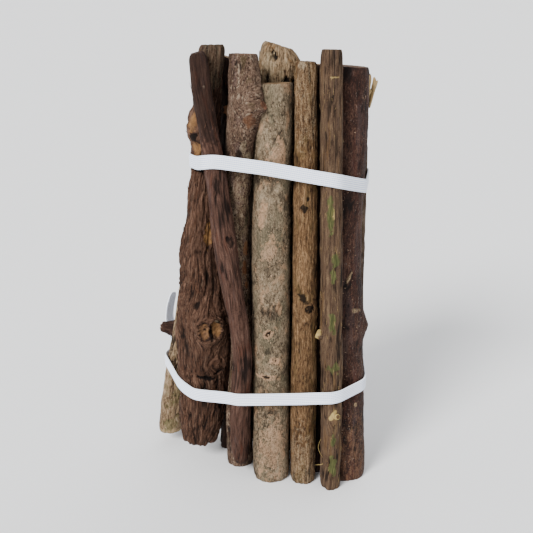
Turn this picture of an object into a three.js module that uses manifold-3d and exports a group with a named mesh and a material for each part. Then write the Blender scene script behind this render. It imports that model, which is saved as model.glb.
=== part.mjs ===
// A bundle of cut twigs that stands on its cut ends, tied by two flat elastic bands.
// Millimetres, +Z up. The origin is the middle of the bundle's footprint, on the surface it stands on.
import * as THREE from 'three';
import { mergeVertices } from 'three/addons/utils/BufferGeometryUtils.js';
import Module from 'manifold-3d';

// How finely a twig is drawn: sides round it, and the distance between its rings.
const TWIG_SIDES = 14;
const RING_STEP = 15;
// The saw leaves a slightly broken edge: the end face is this share of the twig, one EDGE_DROP lower.
const EDGE_SHARE = 0.9;
const EDGE_DROP = 0.8;
// A slanting cut is felt for this many radii from its end. A level one has no slope.
const CUT_IS_FELT = 2;
const LEVEL = { x: 0, y: 0 };
// How fast a twig's lobes wind round it, in radians a millimetre.
const RIPPLE_TWIST = 0.012;
// A side shoot is this many times as thick where it grows out as at its cut.
const SHOOT_TAPER = 1.5;
const SHOOT_SIDES = 10;

// The flat woven elastic.
const ELASTIC_WIDTH = 6;
const ELASTIC_THICKNESS = 0.9;
const ELASTIC_GAP = 0.5;
const ELASTIC_STEP = 9;
const ELASTIC_FINEST_STEP = 1.8;
const KNOT_SIZE = { across: 9, high: 7.5, deep: 3.6 };
// How far the knot is drawn into the strip that it ties.
const KNOT_BITE = 0.6;
// How closely a twig's skin is followed where an elastic passes over it.
const EDGE_SAMPLES = 12;
// What lies within this share of the elastic's width of its middle line is taken to be behind it.
const BEHIND_SHARE = 0.6;

const wasm = await Module();
wasm.setup();

// One place on a twig's axis: its height, where the axis is, and the radius across and front to back.
const at = (z, x, y, across, deep = across) => ({ z, x, y, across, deep });

// A pruned side shoot: its height on the twig, the way it points round the twig (degrees from +X
// towards +Y), how far it reaches from the axis, its radius at the cut, and how steeply it rises.
const shoot = (z, turn, reach, radius, rise) => ({ z, turn, reach, radius, rise });

// Each twig from foot to head. lobes, ripple and phase give its section, which is never quite round.
// footCut and headCut are the slopes of the saw cuts along X and Y.
const TWIGS = {
  pale_left_twig: {
    colour: 0x8d7a5c,
    axis: [
      at(6.5, -51, 32, 6.6), at(45, -45.2, 31.2, 6.3), at(68, -40.9, 30.8, 6.1), at(92, -36.9, 30.4, 6),
      at(130, -31.4, 30, 5.8), at(190, -24, 29.5, 5.4),
    ],
    lobes: 3, ripple: 0.03, phase: 0.4,
    headCut: { x: 0.1, y: -0.08 },
  },
  gnarled_twig: {
    colour: 0x5b4437,
    axis: [
      at(11, -34.2, 14.4, 8.6, 7.8), at(17, -33.6, 14.2, 10.3, 9.4), at(30, -32, 13.6, 11.6, 10),
      at(46, -30.8, 13, 12.4, 10.4), at(66, -30.1, 12.8, 14.4, 11.4), at(88, -30.2, 10.6, 11.8, 9.6),
      at(113, -31.2, 7.4, 8.9, 8.2), at(138, -29, 4.8, 6.4), at(158, -27, 3.4, 5.4),
      at(180, -25.6, 2.7, 5.8), at(207, -23.2, 2.4, 5.9),
    ],
    lobes: 5, ripple: 0.035, phase: 1.1,
    footCut: { x: -0.1, y: 0.12 }, headCut: { x: 0.02, y: -0.1 },
    shoots: [
      shoot(170, 190, 10, 3.6, 0.35), shoot(70, 266, 13.2, 3.6, 0.16), shoot(70.5, 296, 13.2, 3.4, 0.16),
    ],
  },
  leaning_fibrous_twig: {
    colour: 0x54413b,
    axis: [
      at(6.5, -12.8, -1.6, 3.7), at(18, -12.7, -3, 4.7), at(45, -12.4, -6.9, 4.9), at(70, -11, -9.8, 4.2),
      at(93, -14.1, -11.2, 4.6), at(118, -17.9, -11.8, 5.4), at(141, -20.5, -11, 4.9),
      at(162, -22.8, -9.8, 4.5), at(181, -26.3, -8.8, 4.3), at(204.5, -28.8, -8.2, 4.1),
    ],
    lobes: 4, ripple: 0.05, phase: 0.2,
    headCut: { x: 0.22, y: 0.1 }, footCut: { x: -0.12, y: 0 },
  },
  mottled_twig: {
    colour: 0x75635a,
    axis: [
      at(0, -13.4, 10.4, 6.6), at(30, -13.4, 9, 6.5), at(50, -12, 7.2, 6.2), at(70, -10.6, 6, 6),
      at(99, -13.4, 2.8, 6.1), at(139, -13.1, -1.6, 6.1), at(162, -11.6, -4.2, 6),
      at(184, -10.2, -6.4, 6.2), at(204, -9.8, -7.2, 6.3),
    ],
    lobes: 3, ripple: 0.025, phase: 2,
    headCut: { x: -0.03, y: -0.05 },
    shoots: [shoot(179, 318, 13.4, 2.9, 0.75)],
  },
  grey_patched_twig: {
    colour: 0x857b68,
    axis: [
      at(0, 2.2, -2.1, 8.9), at(41, 2.2, -3, 8.7), at(93, 2, -4, 9), at(141, 2.4, -4.2, 8.7),
      at(163, 2.8, -4, 8.3), at(191.5, 3.9, -3.6, 7.5),
    ],
    lobes: 2, ripple: 0.02, phase: 0.9,
    footCut: { x: 0, y: 0 }, headCut: { x: 0.03, y: -0.06 },
  },
  weathered_twig: {
    colour: 0xa09070,
    axis: [
      at(0, 4.6, 17.4, 8.6), at(60, 4.8, 16.6, 8.9), at(130, 5.2, 15, 8.8), at(180, 5.8, 13.8, 9),
      at(198, 6, 13.6, 9.2), at(206, 5.6, 13.6, 7.4),
    ],
    lobes: 4, ripple: 0.03, phase: 0.3,
    headCut: { x: -0.3, y: -0.1 },
  },
  tan_ridged_twig: {
    colour: 0x8c7048,
    axis: [
      at(0, 17.8, -6.3, 6), at(43, 17.5, -7.2, 6.1), at(94, 17.4, -8, 5.7), at(150, 17, -8.4, 5.1),
      at(201, 16.5, -8.6, 4.7),
    ],
    lobes: 5, ripple: 0.03, phase: 0,
    headCut: { x: -0.05, y: -0.04 },
  },
  green_streaked_twig: {
    colour: 0x5c4a3c,
    axis: [
      at(0, 30.8, -12.6, 4.7), at(46, 30.4, -12.2, 4.9), at(90, 29.4, -11.8, 5.1), at(150, 28, -11.2, 4.9),
      at(206, 26.8, -10.8, 5),
    ],
    lobes: 4, ripple: 0.05, phase: 0.8,
    headCut: { x: 0, y: -0.05 },
    shoots: [shoot(78, 195, 7.6, 2.5, 0.35), shoot(36, 283, 6.4, 1.9, 0.45)],
  },
  red_brown_twig: {
    colour: 0x4a322c,
    axis: [
      at(0, 38.9, 0.9, 10.1), at(39, 37.4, 1.2, 10), at(65, 36.5, 2, 9.6), at(81, 36.3, 2.4, 9.7),
      at(110, 34.8, 2.8, 9), at(139, 34.5, 3, 9.3), at(163, 35.2, 3, 9.6), at(198, 35.1, 2.8, 9.6),
    ],
    lobes: 3, ripple: 0.02, phase: 1.7,
    headCut: { x: -0.06, y: -0.04 },
    shoots: [shoot(78, 2, 10.4, 3, 0.2)],
  },
  torn_back_twig: {
    colour: 0x6b5040,
    axis: [
      at(0, 40.4, 20, 7.8), at(70, 40, 20.6, 7.6), at(140, 39.6, 21, 7.5), at(182, 39.6, 21.2, 7.4),
      at(190, 41, 21.2, 6.2),
    ],
    shoots: [shoot(179, 352, 9.6, 2.4, 1.1)],
    lobes: 3, ripple: 0.03, phase: 0.6,
    headCut: { x: 0.5, y: 0.1 },
  },
  thin_dark_twig: {
    colour: 0x3c2c26,
    axis: [at(0, 24.7, 1.5, 3.1), at(70, 24, -1.3, 2.7), at(140, 21.7, -0.8, 3.1), at(199, 21.2, -0.6, 3.6)],
    lobes: 2, ripple: 0.04, phase: 0,
    headCut: { x: 0.02, y: 0 },
  },
  stubbed_back_twig: {
    colour: 0x4d3c37,
    axis: [at(0, -40.5, 43.8, 5.6), at(64, -38.4, 43, 5.4), at(130, -31, 42, 5.1), at(186, -26, 41, 4.8)],
    lobes: 3, ripple: 0.04, phase: 0.5,
    shoots: [shoot(58, 197, 16.5, 2.5, 0.28)],
  },
  dark_back_twig: {
    colour: 0x3f2e29,
    axis: [
      at(0, -18.6, 27, 6.3), at(66, -11.6, 25.4, 6), at(140, -15.8, 16.6, 5.4), at(201, -17.2, 12.4, 4.7),
    ],
    lobes: 3, ripple: 0.04, phase: 1.3,
    headCut: { x: -0.35, y: 0 },
  },
  back_right_twig: {
    colour: 0x5a4638,
    axis: [at(0, 22.8, 15.6, 6.9), at(70, 22.4, 15, 6.8), at(140, 22, 14.4, 6.5), at(193, 21.8, 14, 6.2)],
    lobes: 4, ripple: 0.03, phase: 2.4,
    headCut: { x: 0, y: -0.06 },
  },
  back_middle_twig: {
    colour: 0x7c6a50,
    axis: [at(0, 13.5, 33, 7.4), at(90, 14.2, 31.6, 7.3), at(187, 14.6, 29.8, 7)],
    lobes: 3, ripple: 0.03, phase: 1.5,
    headCut: { x: 0.08, y: 0 },
  },
  back_left_twig: {
    colour: 0x66584c,
    axis: [at(0, -4.6, 38.2, 7.6), at(90, -4.6, 37.8, 7.4), at(184, -5.4, 33, 7)],
    lobes: 4, ripple: 0.03, phase: 0.1,
    headCut: { x: -0.06, y: 0.05 },
  },
  back_corner_twig: {
    colour: 0x5d4c3a,
    axis: [at(0, 31.2, 34.4, 6.2), at(90, 30.6, 34, 6.1), at(191, 30, 33, 5.8)],
    lobes: 3, ripple: 0.035, phase: 0.7,
    headCut: { x: 0.05, y: 0.04 },
  },
};

// Each elastic wanders up and down on its way round. heights lists where it is at some directions
// from the bundle's middle (degrees from +X towards +Y). A tail is a loose end: where it gets to from
// the knot, and the way that its width faces.
const BANDS = {
  lower_elastic_band: {
    middle: { x: -3, y: 14 },
    heights: [[-108, 47.2], [-44, 50], [-12, 51], [15, 51], [90, 50], [142, 49.5], [162, 48], [197, 44.4]],
    knot: { x: -48, y: 47 },
    tails: [{ x: 0.2, y: 0, rise: 29, turn: 48 }, { x: -1.5, y: 3, rise: -19, turn: 70 }],
  },
  upper_elastic_band: {
    middle: { x: 3, y: 12 },
    heights: [
      [-134, 161.6], [-93, 157.8], [-49, 153.2], [-11, 146], [30, 148], [90, 155], [150, 158], [191, 157],
    ],
    knot: { x: 8, y: 42 },
    tails: [{ x: 8, y: 3, rise: 15, turn: 20 }, { x: -7, y: 3, rise: -17, turn: -15 }],
  },
};
const ELASTIC_COLOUR = 0xdde0ea;

// A closed three.js geometry as a manifold solid.
function solidOf(geometry) {
  const bare = geometry.index ? geometry.toNonIndexed() : geometry.clone();
  bare.deleteAttribute('normal');
  bare.deleteAttribute('uv');
  const merged = mergeVertices(bare, 1e-4);
  const mesh = new wasm.Mesh({
    numProp: 3,
    vertProperties: merged.attributes.position.array,
    triVerts: new Uint32Array(merged.index.array),
  });
  return new wasm.Manifold(mesh);
}

// A manifold solid as a three.js geometry with flat faces.
function geometryOf(solid) {
  const { vertProperties, triVerts } = solid.getMesh();
  const geometry = new THREE.BufferGeometry();
  geometry.setAttribute('position', new THREE.BufferAttribute(vertProperties, 3));
  geometry.setIndex(new THREE.BufferAttribute(triVerts, 1));
  const flat = geometry.toNonIndexed();
  flat.computeVertexNormals();
  return flat;
}

// Skins a stack of rings, each a list of points, and closes both ends with a fan round its middle.
function skin(rings) {
  const sides = rings[0].length;
  const middle = (ring) => ring.reduce((sum, p) => sum.add(p), new THREE.Vector3()).divideScalar(sides);
  const positions = [];
  const triangle = (...corners) => corners.forEach((p) => positions.push(p.x, p.y, p.z));
  const foot = middle(rings[0]);
  const head = middle(rings.at(-1));
  for (let side = 0; side < sides; side++) {
    const next = (side + 1) % sides;
    triangle(foot, rings[0][next], rings[0][side]);
    triangle(head, rings.at(-1)[side], rings.at(-1)[next]);
    for (let ring = 0; ring + 1 < rings.length; ring++) {
      const [low, high] = [rings[ring], rings[ring + 1]];
      triangle(low[side], low[next], high[next]);
      triangle(low[side], high[next], high[side]);
    }
  }
  const geometry = new THREE.BufferGeometry();
  geometry.setAttribute('position', new THREE.Float32BufferAttribute(positions, 3));
  return geometry;
}

// The twig's axis and radii at any height, as one smooth curve through its listed places.
function curveOf({ axis }) {
  const heights = axis.map(({ z }) => z);
  const values = axis.flatMap(({ x, y, across, deep }) => [x, y, across, deep]);
  const curve = new THREE.CubicInterpolant(heights, values, 4);
  return (z) => {
    const [x, y, across, deep] = curve.evaluate(z);
    return { x, y, across, deep };
  };
}

// A ring of the twig at a height, drawn in by scale. Near an end it leans with the saw cut there.
function ringOf(twig, curve, z, scale = 1) {
  const { x: centreX, y: centreY, across, deep } = curve(z);
  const { footCut = LEVEL, headCut = LEVEL } = twig;
  const felt = CUT_IS_FELT * across;
  const footShare = Math.max(0, 1 - (z - twig.axis[0].z) / felt);
  const headShare = Math.max(0, 1 - (twig.axis.at(-1).z - z) / felt);
  const slopeX = footShare * footCut.x + headShare * headCut.x;
  const slopeY = footShare * footCut.y + headShare * headCut.y;
  const ring = [];
  for (let side = 0; side < TWIG_SIDES; side++) {
    const angle = (side / TWIG_SIDES) * 2 * Math.PI;
    const swell = 1 + twig.ripple * Math.cos(twig.lobes * angle + twig.phase + z * RIPPLE_TWIST);
    const x = across * swell * scale * Math.cos(angle);
    const y = deep * swell * scale * Math.sin(angle);
    ring.push(new THREE.Vector3(centreX + x, centreY + y, z + slopeX * x + slopeY * y));
  }
  return ring;
}

// A side shoot as a short tapered peg that starts inside the twig and ends in its cut.
function shootSolid(curve, { z, turn, reach, radius, rise }) {
  const start = curve(z);
  const angle = THREE.MathUtils.degToRad(turn);
  const way = new THREE.Vector3(Math.cos(angle), Math.sin(angle), rise).normalize();
  const peg = new THREE.CylinderGeometry(radius, radius * SHOOT_TAPER, reach, SHOOT_SIDES);
  peg.translate(0, reach / 2, 0);
  peg.applyQuaternion(new THREE.Quaternion().setFromUnitVectors(new THREE.Vector3(0, 1, 0), way));
  peg.translate(start.x, start.y, z);
  return solidOf(peg);
}

// A whole twig: rings up its axis with broken edges at both cuts, and its side shoots grown on.
function twigGeometry(twig) {
  const curve = curveOf(twig);
  const [foot, head] = [twig.axis[0].z, twig.axis.at(-1).z];
  const count = Math.round((head - foot) / RING_STEP);
  const rings = [ringOf(twig, curve, foot, EDGE_SHARE), ringOf(twig, curve, foot + EDGE_DROP)];
  for (let ring = 1; ring < count; ring++) {
    rings.push(ringOf(twig, curve, foot + ((head - foot) * ring) / count));
  }
  rings.push(ringOf(twig, curve, head - EDGE_DROP), ringOf(twig, curve, head, EDGE_SHARE));
  let solid = solidOf(skin(rings));
  for (const one of twig.shoots ?? []) solid = solid.add(shootSolid(curve, one));
  return geometryOf(solid);
}

// The height of an elastic where it passes a point, eased between the listed directions.
function bandHeight({ heights, middle }, point) {
  const turn = THREE.MathUtils.radToDeg(Math.atan2(point.y - middle.y, point.x - middle.x));
  const stations = [...heights, [heights[0][0] + 360, heights[0][1]]];
  const wrapped = turn < stations[0][0] ? turn + 360 : turn;
  const next = Math.max(1, stations.findIndex(([station]) => station >= wrapped));
  const [[fromTurn, fromHeight], [toTurn, toHeight]] = [stations[next - 1], stations[next]];
  return THREE.MathUtils.lerp(fromHeight, toHeight, THREE.MathUtils.smoothstep(wrapped, fromTurn, toTurn));
}

// The smallest loop round some points, anticlockwise.
function hullOf(points) {
  const sorted = [...points].sort((a, b) => a.x - b.x || a.y - b.y);
  const turnsLeft = (a, b, c) => (b.x - a.x) * (c.y - a.y) - (b.y - a.y) * (c.x - a.x) > 0;
  const chain = (list) => {
    const kept = [];
    for (const p of list) {
      while (kept.length > 1 && !turnsLeft(kept.at(-2), kept.at(-1), p)) kept.pop();
      kept.push(p);
    }
    return kept.slice(0, -1);
  };
  return [...chain(sorted), ...chain(sorted.reverse())];
}

// Pushes a loop outwards by a distance, with a point every ELASTIC_STEP.
function widened(loop, distance) {
  const closed = [...loop, loop[0]];
  const pushed = [];
  for (let i = 0; i < loop.length; i++) {
    const edge = new THREE.Vector2().subVectors(closed[i + 1], closed[i]);
    const out = new THREE.Vector2(edge.y, -edge.x).normalize().multiplyScalar(distance);
    const parts = Math.max(1, Math.round(edge.length() / ELASTIC_STEP));
    for (let part = 0; part <= parts; part++) {
      pushed.push(closed[i].clone().addScaledVector(edge, part / parts).add(out));
    }
  }
  const kept = [];
  for (const p of hullOf(pushed)) {
    if (kept.length === 0 || p.distanceTo(kept.at(-1)) > ELASTIC_FINEST_STEP) kept.push(p);
  }
  return kept;
}

// The points of a twig's skin that lie behind an elastic.
function pointsBehind(band, geometry) {
  const position = geometry.getAttribute('position');
  const points = [];
  const [a, b] = [new THREE.Vector3(), new THREE.Vector3()];
  for (let i = 0; i < position.count; i++) {
    a.fromBufferAttribute(position, i);
    b.fromBufferAttribute(position, i % 3 === 2 ? i - 2 : i + 1);
    for (let part = 0; part < EDGE_SAMPLES; part++) {
      const p = a.clone().lerp(b, part / EDGE_SAMPLES);
      const above = Math.abs(p.z - bandHeight(band, p));
      if (above < BEHIND_SHARE * ELASTIC_WIDTH) points.push(new THREE.Vector2(p.x, p.y));
    }
  }
  return points;
}

// A strip of elastic from its middle line, a list of points, each with the way that its width runs.
function strip(points, widths, normals) {
  const corner = (i, wide, thick) => points[i].clone()
    .addScaledVector(widths[i], (wide * ELASTIC_WIDTH) / 2)
    .addScaledVector(normals[i], (thick * ELASTIC_THICKNESS) / 2);
  const section = (i) => [corner(i, -1, -1), corner(i, 1, -1), corner(i, 1, 1), corner(i, -1, 1)];
  return points.map((_, i) => section(i));
}

// A loose end of the elastic: it leaves the knot at (0, 0, 0), rises or falls, and bends over.
function tailSolid({ x, y, rise, turn }) {
  const steps = 6;
  const facing = THREE.MathUtils.degToRad(turn);
  const [points, widths, normals] = [[], [], []];
  for (let step = 0; step <= steps; step++) {
    const share = step / steps;
    const bend = share * share;
    points.push(new THREE.Vector3(x * bend, y * bend, rise * share));
    widths.push(new THREE.Vector3(Math.cos(facing), Math.sin(facing), 0));
    normals.push(new THREE.Vector3(-Math.sin(facing), Math.cos(facing), 0));
  }
  const rings = strip(points, widths, normals);
  return solidOf(skin(rise > 0 ? rings : rings.map((ring) => ring.reverse())));
}

// The knot: a pulled-tight lump, a little lemon shaped.
function knotSolid() {
  const lump = new THREE.SphereGeometry(1, 12, 8);
  lump.scale(KNOT_SIZE.across / 2, KNOT_SIZE.deep / 2, KNOT_SIZE.high / 2);
  return solidOf(lump);
}

// An elastic band: a closed strip stretched round the twigs, with its knot and two loose ends.
function bandGeometry(band, twigGeometries) {
  const outlines = twigGeometries.flatMap((geometry) => pointsBehind(band, geometry));
  const loop = widened(hullOf(outlines), ELASTIC_GAP + ELASTIC_THICKNESS / 2);
  const points = loop.map((p) => new THREE.Vector3(p.x, p.y, bandHeight(band, p)));
  const up = loop.map(() => new THREE.Vector3(0, 0, 1));
  const out = loop.map((_, i) => {
    const along = new THREE.Vector2().subVectors(loop[(i + 1) % loop.length], loop.at(i - 1));
    return new THREE.Vector3(along.y, -along.x, 0).normalize();
  });
  const rings = strip(points, up, out);
  const positions = [];
  for (let i = 0; i < rings.length; i++) {
    const [here, there] = [rings[i], rings[(i + 1) % rings.length]];
    for (let side = 0; side < 4; side++) {
      const next = (side + 1) % 4;
      for (const p of [here[side], there[next], there[side], here[side], here[next], there[next]]) {
        positions.push(p.x, p.y, p.z);
      }
    }
  }
  const geometry = new THREE.BufferGeometry();
  geometry.setAttribute('position', new THREE.Float32BufferAttribute(positions, 3));
  let solid = solidOf(geometry);
  // The knot sits on the outside of the loop, at the point nearest to where it was tied.
  const distanceTo = (p) => Math.hypot(band.knot.x - p.x, band.knot.y - p.y);
  const spot = points.reduce((best, p) => (distanceTo(p) < distanceTo(best) ? p : best));
  const away = out[points.indexOf(spot)];
  const facing = THREE.MathUtils.radToDeg(Math.atan2(away.y, away.x)) - 90;
  const offset = ELASTIC_THICKNESS / 2 + KNOT_SIZE.deep / 2 - KNOT_BITE;
  const place = spot.clone().addScaledVector(away, offset);
  for (const part of [knotSolid().rotate([0, 0, facing]), ...band.tails.map(tailSolid)]) {
    solid = solid.add(part.translate(place.toArray()));
  }
  return geometryOf(solid);
}

function meshOf(name, geometry, colour, roughness) {
  const material = new THREE.MeshStandardMaterial({ color: colour, roughness, metalness: 0 });
  const mesh = new THREE.Mesh(geometry, material);
  mesh.name = name;
  return mesh;
}

const bundle = new THREE.Group();
const twigGeometries = [];
for (const [name, twig] of Object.entries(TWIGS)) {
  const geometry = twigGeometry(twig);
  twigGeometries.push(geometry);
  bundle.add(meshOf(name, geometry, twig.colour, 0.85));
}
for (const [name, band] of Object.entries(BANDS)) {
  bundle.add(meshOf(name, bandGeometry(band, twigGeometries), ELASTIC_COLOUR, 0.7));
}
// The middle of the footprint goes to the origin.
const middle = new THREE.Box3().setFromObject(bundle).getCenter(new THREE.Vector3());
bundle.position.set(-middle.x, -middle.y, 0);

export default bundle;
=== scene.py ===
import math

import bpy
import numpy as np
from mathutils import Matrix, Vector
from mathutils.bvhtree import BVHTree


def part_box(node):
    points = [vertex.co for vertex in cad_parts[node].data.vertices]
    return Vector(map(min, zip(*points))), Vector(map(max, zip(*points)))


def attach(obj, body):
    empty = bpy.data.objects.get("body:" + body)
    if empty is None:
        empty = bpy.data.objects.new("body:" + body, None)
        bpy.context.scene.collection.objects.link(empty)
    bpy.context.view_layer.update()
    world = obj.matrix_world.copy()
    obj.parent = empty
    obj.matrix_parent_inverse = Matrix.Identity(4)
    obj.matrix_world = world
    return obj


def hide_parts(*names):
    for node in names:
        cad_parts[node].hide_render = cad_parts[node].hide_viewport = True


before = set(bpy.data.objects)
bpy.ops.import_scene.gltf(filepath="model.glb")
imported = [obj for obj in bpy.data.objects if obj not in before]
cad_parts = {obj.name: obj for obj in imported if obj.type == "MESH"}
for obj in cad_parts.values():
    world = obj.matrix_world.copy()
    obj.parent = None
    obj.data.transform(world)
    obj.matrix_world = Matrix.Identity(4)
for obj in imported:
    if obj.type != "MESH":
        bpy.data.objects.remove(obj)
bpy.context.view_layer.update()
mm = 0.001  # the dictionaries below are in millimetres and degrees
print("loaded", len(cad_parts), "nodes")


# Noise on arrays of points

def lattice(cell, seed):  # a fixed random number from -1 to 1 for each whole-numbered corner
    mixed = cell[..., 0] * 73856093 ^ cell[..., 1] * 19349663 ^ cell[..., 2] * 83492791 ^ (seed * 40503 + 977)
    mixed = (mixed & 0xFFFFFFFF) * 1274126177 & 0xFFFFFFFF
    mixed = (mixed ^ mixed >> 15) * 1103515245 & 0xFFFFFFFF
    return (mixed ^ mixed >> 13) / 2147483648.0 - 1


def noise(points, seed):
    cell = np.floor(points).astype(np.int64)
    part = points - cell
    ease = part * part * (3 - 2 * part)
    total = np.zeros(len(points))
    for corner in np.ndindex(2, 2, 2):
        weight = np.where(np.array(corner) == 1, ease, 1 - ease).prod(axis=1)
        total += weight * lattice(cell + corner, seed)
    return total


def clouds(points, seed, octaves=3, gain=0.5):
    total, weight, whole = 0, 1, 0
    for octave in range(octaves):
        total = total + weight * noise(points * 2 ** octave, seed + 7 * octave)
        whole += weight
        weight *= gain
    return total / whole


def smooth(low, high, value):
    share = np.clip((value - low) / (high - low), 0, 1)
    return share * share * (3 - 2 * share)


# The form of each twig, read from the model

# footGap and headGap: how far the first and last slices stay from the saw cuts. extra: the slices that
# are added past both ends, so that a straight line goes on straight.
reading = {"slice": 4, "rays": 48, "window": 11, "harmonics": 6, "cutNormal": 0.86, "cutReach": 9,
           "footGap": 3.5, "headGap": 4.5, "extra": 3}


def withoutBumps(rows, tolerance):  # replaces what stands out for a short stretch by the stretch's median
    reach = reading["window"] // 2
    padded = np.pad(rows, ((reach, reach), (0, 0)), mode="reflect", reflect_type="odd")
    windows = np.lib.stride_tricks.sliding_window_view(padded, reading["window"], axis=0)
    middle = np.median(windows, axis=-1)
    return np.where(np.abs(rows - middle) > tolerance, middle, rows)


def evened(rows):  # one pass of smoothing up the twig
    padded = np.pad(rows, ((1, 1), (0, 0)), mode="reflect", reflect_type="odd")
    return (padded[:-2] + 2 * padded[1:-1] + padded[2:]) / 4


def cutPlane(mesh, end, sign):  # a saw cut: its middle and its slopes along X and Y
    total, middle = Vector(), Vector()
    area = 0
    for face in mesh.polygons:
        near = abs(face.center.z - end) < reading["cutReach"] * mm
        if face.normal.z * sign > reading["cutNormal"] and near:
            total += face.normal * face.area
            middle += face.center * face.area
            area += face.area
    middle /= area
    return np.array(middle) / mm, (-total.x / total.z, -total.y / total.z)


def formOf(node, bump):  # bump: how far a side shoot stands out at least, so that it is left out
    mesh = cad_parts[node].data
    corners = [vertex.co / mm for vertex in mesh.vertices]
    tree = BVHTree.FromPolygons(corners, [tuple(face.vertices) for face in mesh.polygons])
    low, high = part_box(node)
    foot, footSlope = cutPlane(mesh, low.z, -1)
    head, headSlope = cutPlane(mesh, high.z, 1)
    heights = np.arange(foot[2] + reading["footGap"], head[2] - reading["headGap"], reading["slice"])
    angles = turnsOf(reading["rays"])
    ways = [Vector((math.cos(angle), math.sin(angle), 0)) for angle in angles]

    def radiiFrom(x, y, z):
        return np.array([tree.ray_cast(Vector((x, y, z)), way)[3] or 0 for way in ways])

    centres, x, y = [], foot[0], foot[1]
    for z in heights:
        for turn in range(3):
            radii = radiiFrom(x, y, z)
            x += 2 * np.mean(radii * np.cos(angles))
            y += 2 * np.mean(radii * np.sin(angles))
        centres.append((x, y))
    centres = evened(withoutBumps(np.array(centres), bump / 2))
    radii = np.array([radiiFrom(cx, cy, z) for (cx, cy), z in zip(centres, heights)])
    radii = evened(withoutBumps(radii, bump))
    extra = reading["extra"]
    pads = ((extra, extra), (0, 0))
    waves = np.fft.rfft(np.pad(radii, pads, mode="edge"), axis=1)[:, : reading["harmonics"] + 1]
    return {
        "foot": foot[2], "head": head[2], "footSlope": footSlope, "headSlope": headSlope,
        "heights": heights[0] + reading["slice"] * np.arange(-extra, len(heights) + extra),
        "centres": np.pad(centres, pads, mode="reflect", reflect_type="odd"),
        "real": waves.real, "imag": waves.imag, "radius": abs(waves[:, 0]).mean() / reading["rays"],
    }


def columnsAt(form, key, z):  # the form's rows of one kind, read at other heights
    return np.stack([np.interp(z, form["heights"], column) for column in form[key].T], axis=1)


def radiiAt(form, z, angles):
    real, imag = columnsAt(form, "real", z), columnsAt(form, "imag", z)
    order = np.arange(real.shape[1])
    weight = np.where(order == 0, 1, 2) / reading["rays"]
    turns = order[:, None] * angles[None, :]
    return (real * weight) @ np.cos(turns) - (imag * weight) @ np.sin(turns)


# Bark relief. A layer gives a height in mm from the grain, which runs round, in and up the twig.

def cellOf(layer):
    return np.array([layer["wide"], layer["wide"], layer["long"]])


def furrows(grain, layer):  # long forking grooves between rounded ribs
    size = cellOf(layer)
    bent = grain + layer.get("wander", 0) * layer["wide"] * np.stack(
        [clouds(grain / size * 0.5 + shift, layer["seed"] + shift, 2) for shift in (11, 23, 37)], axis=1)
    groove = 1 - np.abs(clouds(bent / size, layer["seed"], 2)) * 2.6
    return -layer["deep"] * smooth(layer.get("start", 0.35), 1, groove)


def fibres(grain, layer):  # fine strands that run up the twig
    return layer["deep"] * clouds(grain / cellOf(layer), layer["seed"], 3, 0.65)


def lumps(grain, layer):
    return layer["deep"] * clouds(grain / cellOf(layer), layer["seed"], 3)


maskNames = ("wood", "dark", "moss", "pale")
paintNames = ("grain", "relief", "cut", "rim", "growth", *maskNames)


def paintOf(count, **known):  # all that is painted on a mesh's points, 0 where it isn't given
    return {name: known.get(name, np.zeros(count)) for name in paintNames}


def turnsOf(count):  # evenly spaced directions round a circle
    return np.arange(count) / count * 2 * math.pi


def spread(mark, theta, z, radius, seed):  # how far each point is from a mark, 1 at its edge
    turned = (theta - math.radians(mark["turn"]) + math.pi) % (2 * math.pi) - math.pi
    across, up = turned * radius, z - mark["z"]
    lean = math.radians(mark.get("lean", 0))
    across, up = across * math.cos(lean) - up * math.sin(lean), across * math.sin(lean) + up * math.cos(lean)
    places = np.stack([across, up, np.full_like(up, mark["z"])], axis=1)
    ragged = mark.get("ragged", 0.25) * clouds(places / mark.get("grit", 1.6), seed, 3)
    return np.hypot(across / mark["wide"], up / mark["tall"]) + ragged, across, up


def applyMark(kind, mark, away, height, masks):
    inside = 1 - smooth(0.75, 1.05, away)
    if kind == "boss":
        height = height + mark["high"] * np.exp(-away ** 2)
    if kind == "scar":
        height = height * (1 - inside) + mark["high"] * (0.55 - 0.5 * np.clip(1 - away, 0, 1)) * inside
        height = height + mark["high"] * np.exp(-((away - 1.15) / 0.28) ** 2)
        height = height + 0.5 * mark["high"] * np.exp(-((away - 1.15) / 0.8) ** 2)
        masks["wood"] = np.maximum(masks["wood"], inside * mark.get("paint", 1))
        # Painted shade: a thin dark ring in the crease just inside the raised rim.
        masks["dark"] = np.maximum(masks["dark"], 0.8 * np.exp(-((away - 1.03) / 0.09) ** 2))
    if kind == "pit":
        height = height - mark["high"] * inside
        # Painted shade: the sunk pit is painted dark inside.
        masks["dark"] = np.maximum(masks["dark"], inside * mark.get("strength", 1))
    if kind == "patch":
        height = height + mark.get("high", 0) * inside
        name = mark["paint"]
        masks[name] = np.maximum(masks[name], inside * mark.get("strength", 1))
    return height


# Meshes

def placed(name, data):  # an object at the origin
    thing = bpy.data.objects.new(name, data)
    bpy.context.scene.collection.objects.link(thing)
    return thing


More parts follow.
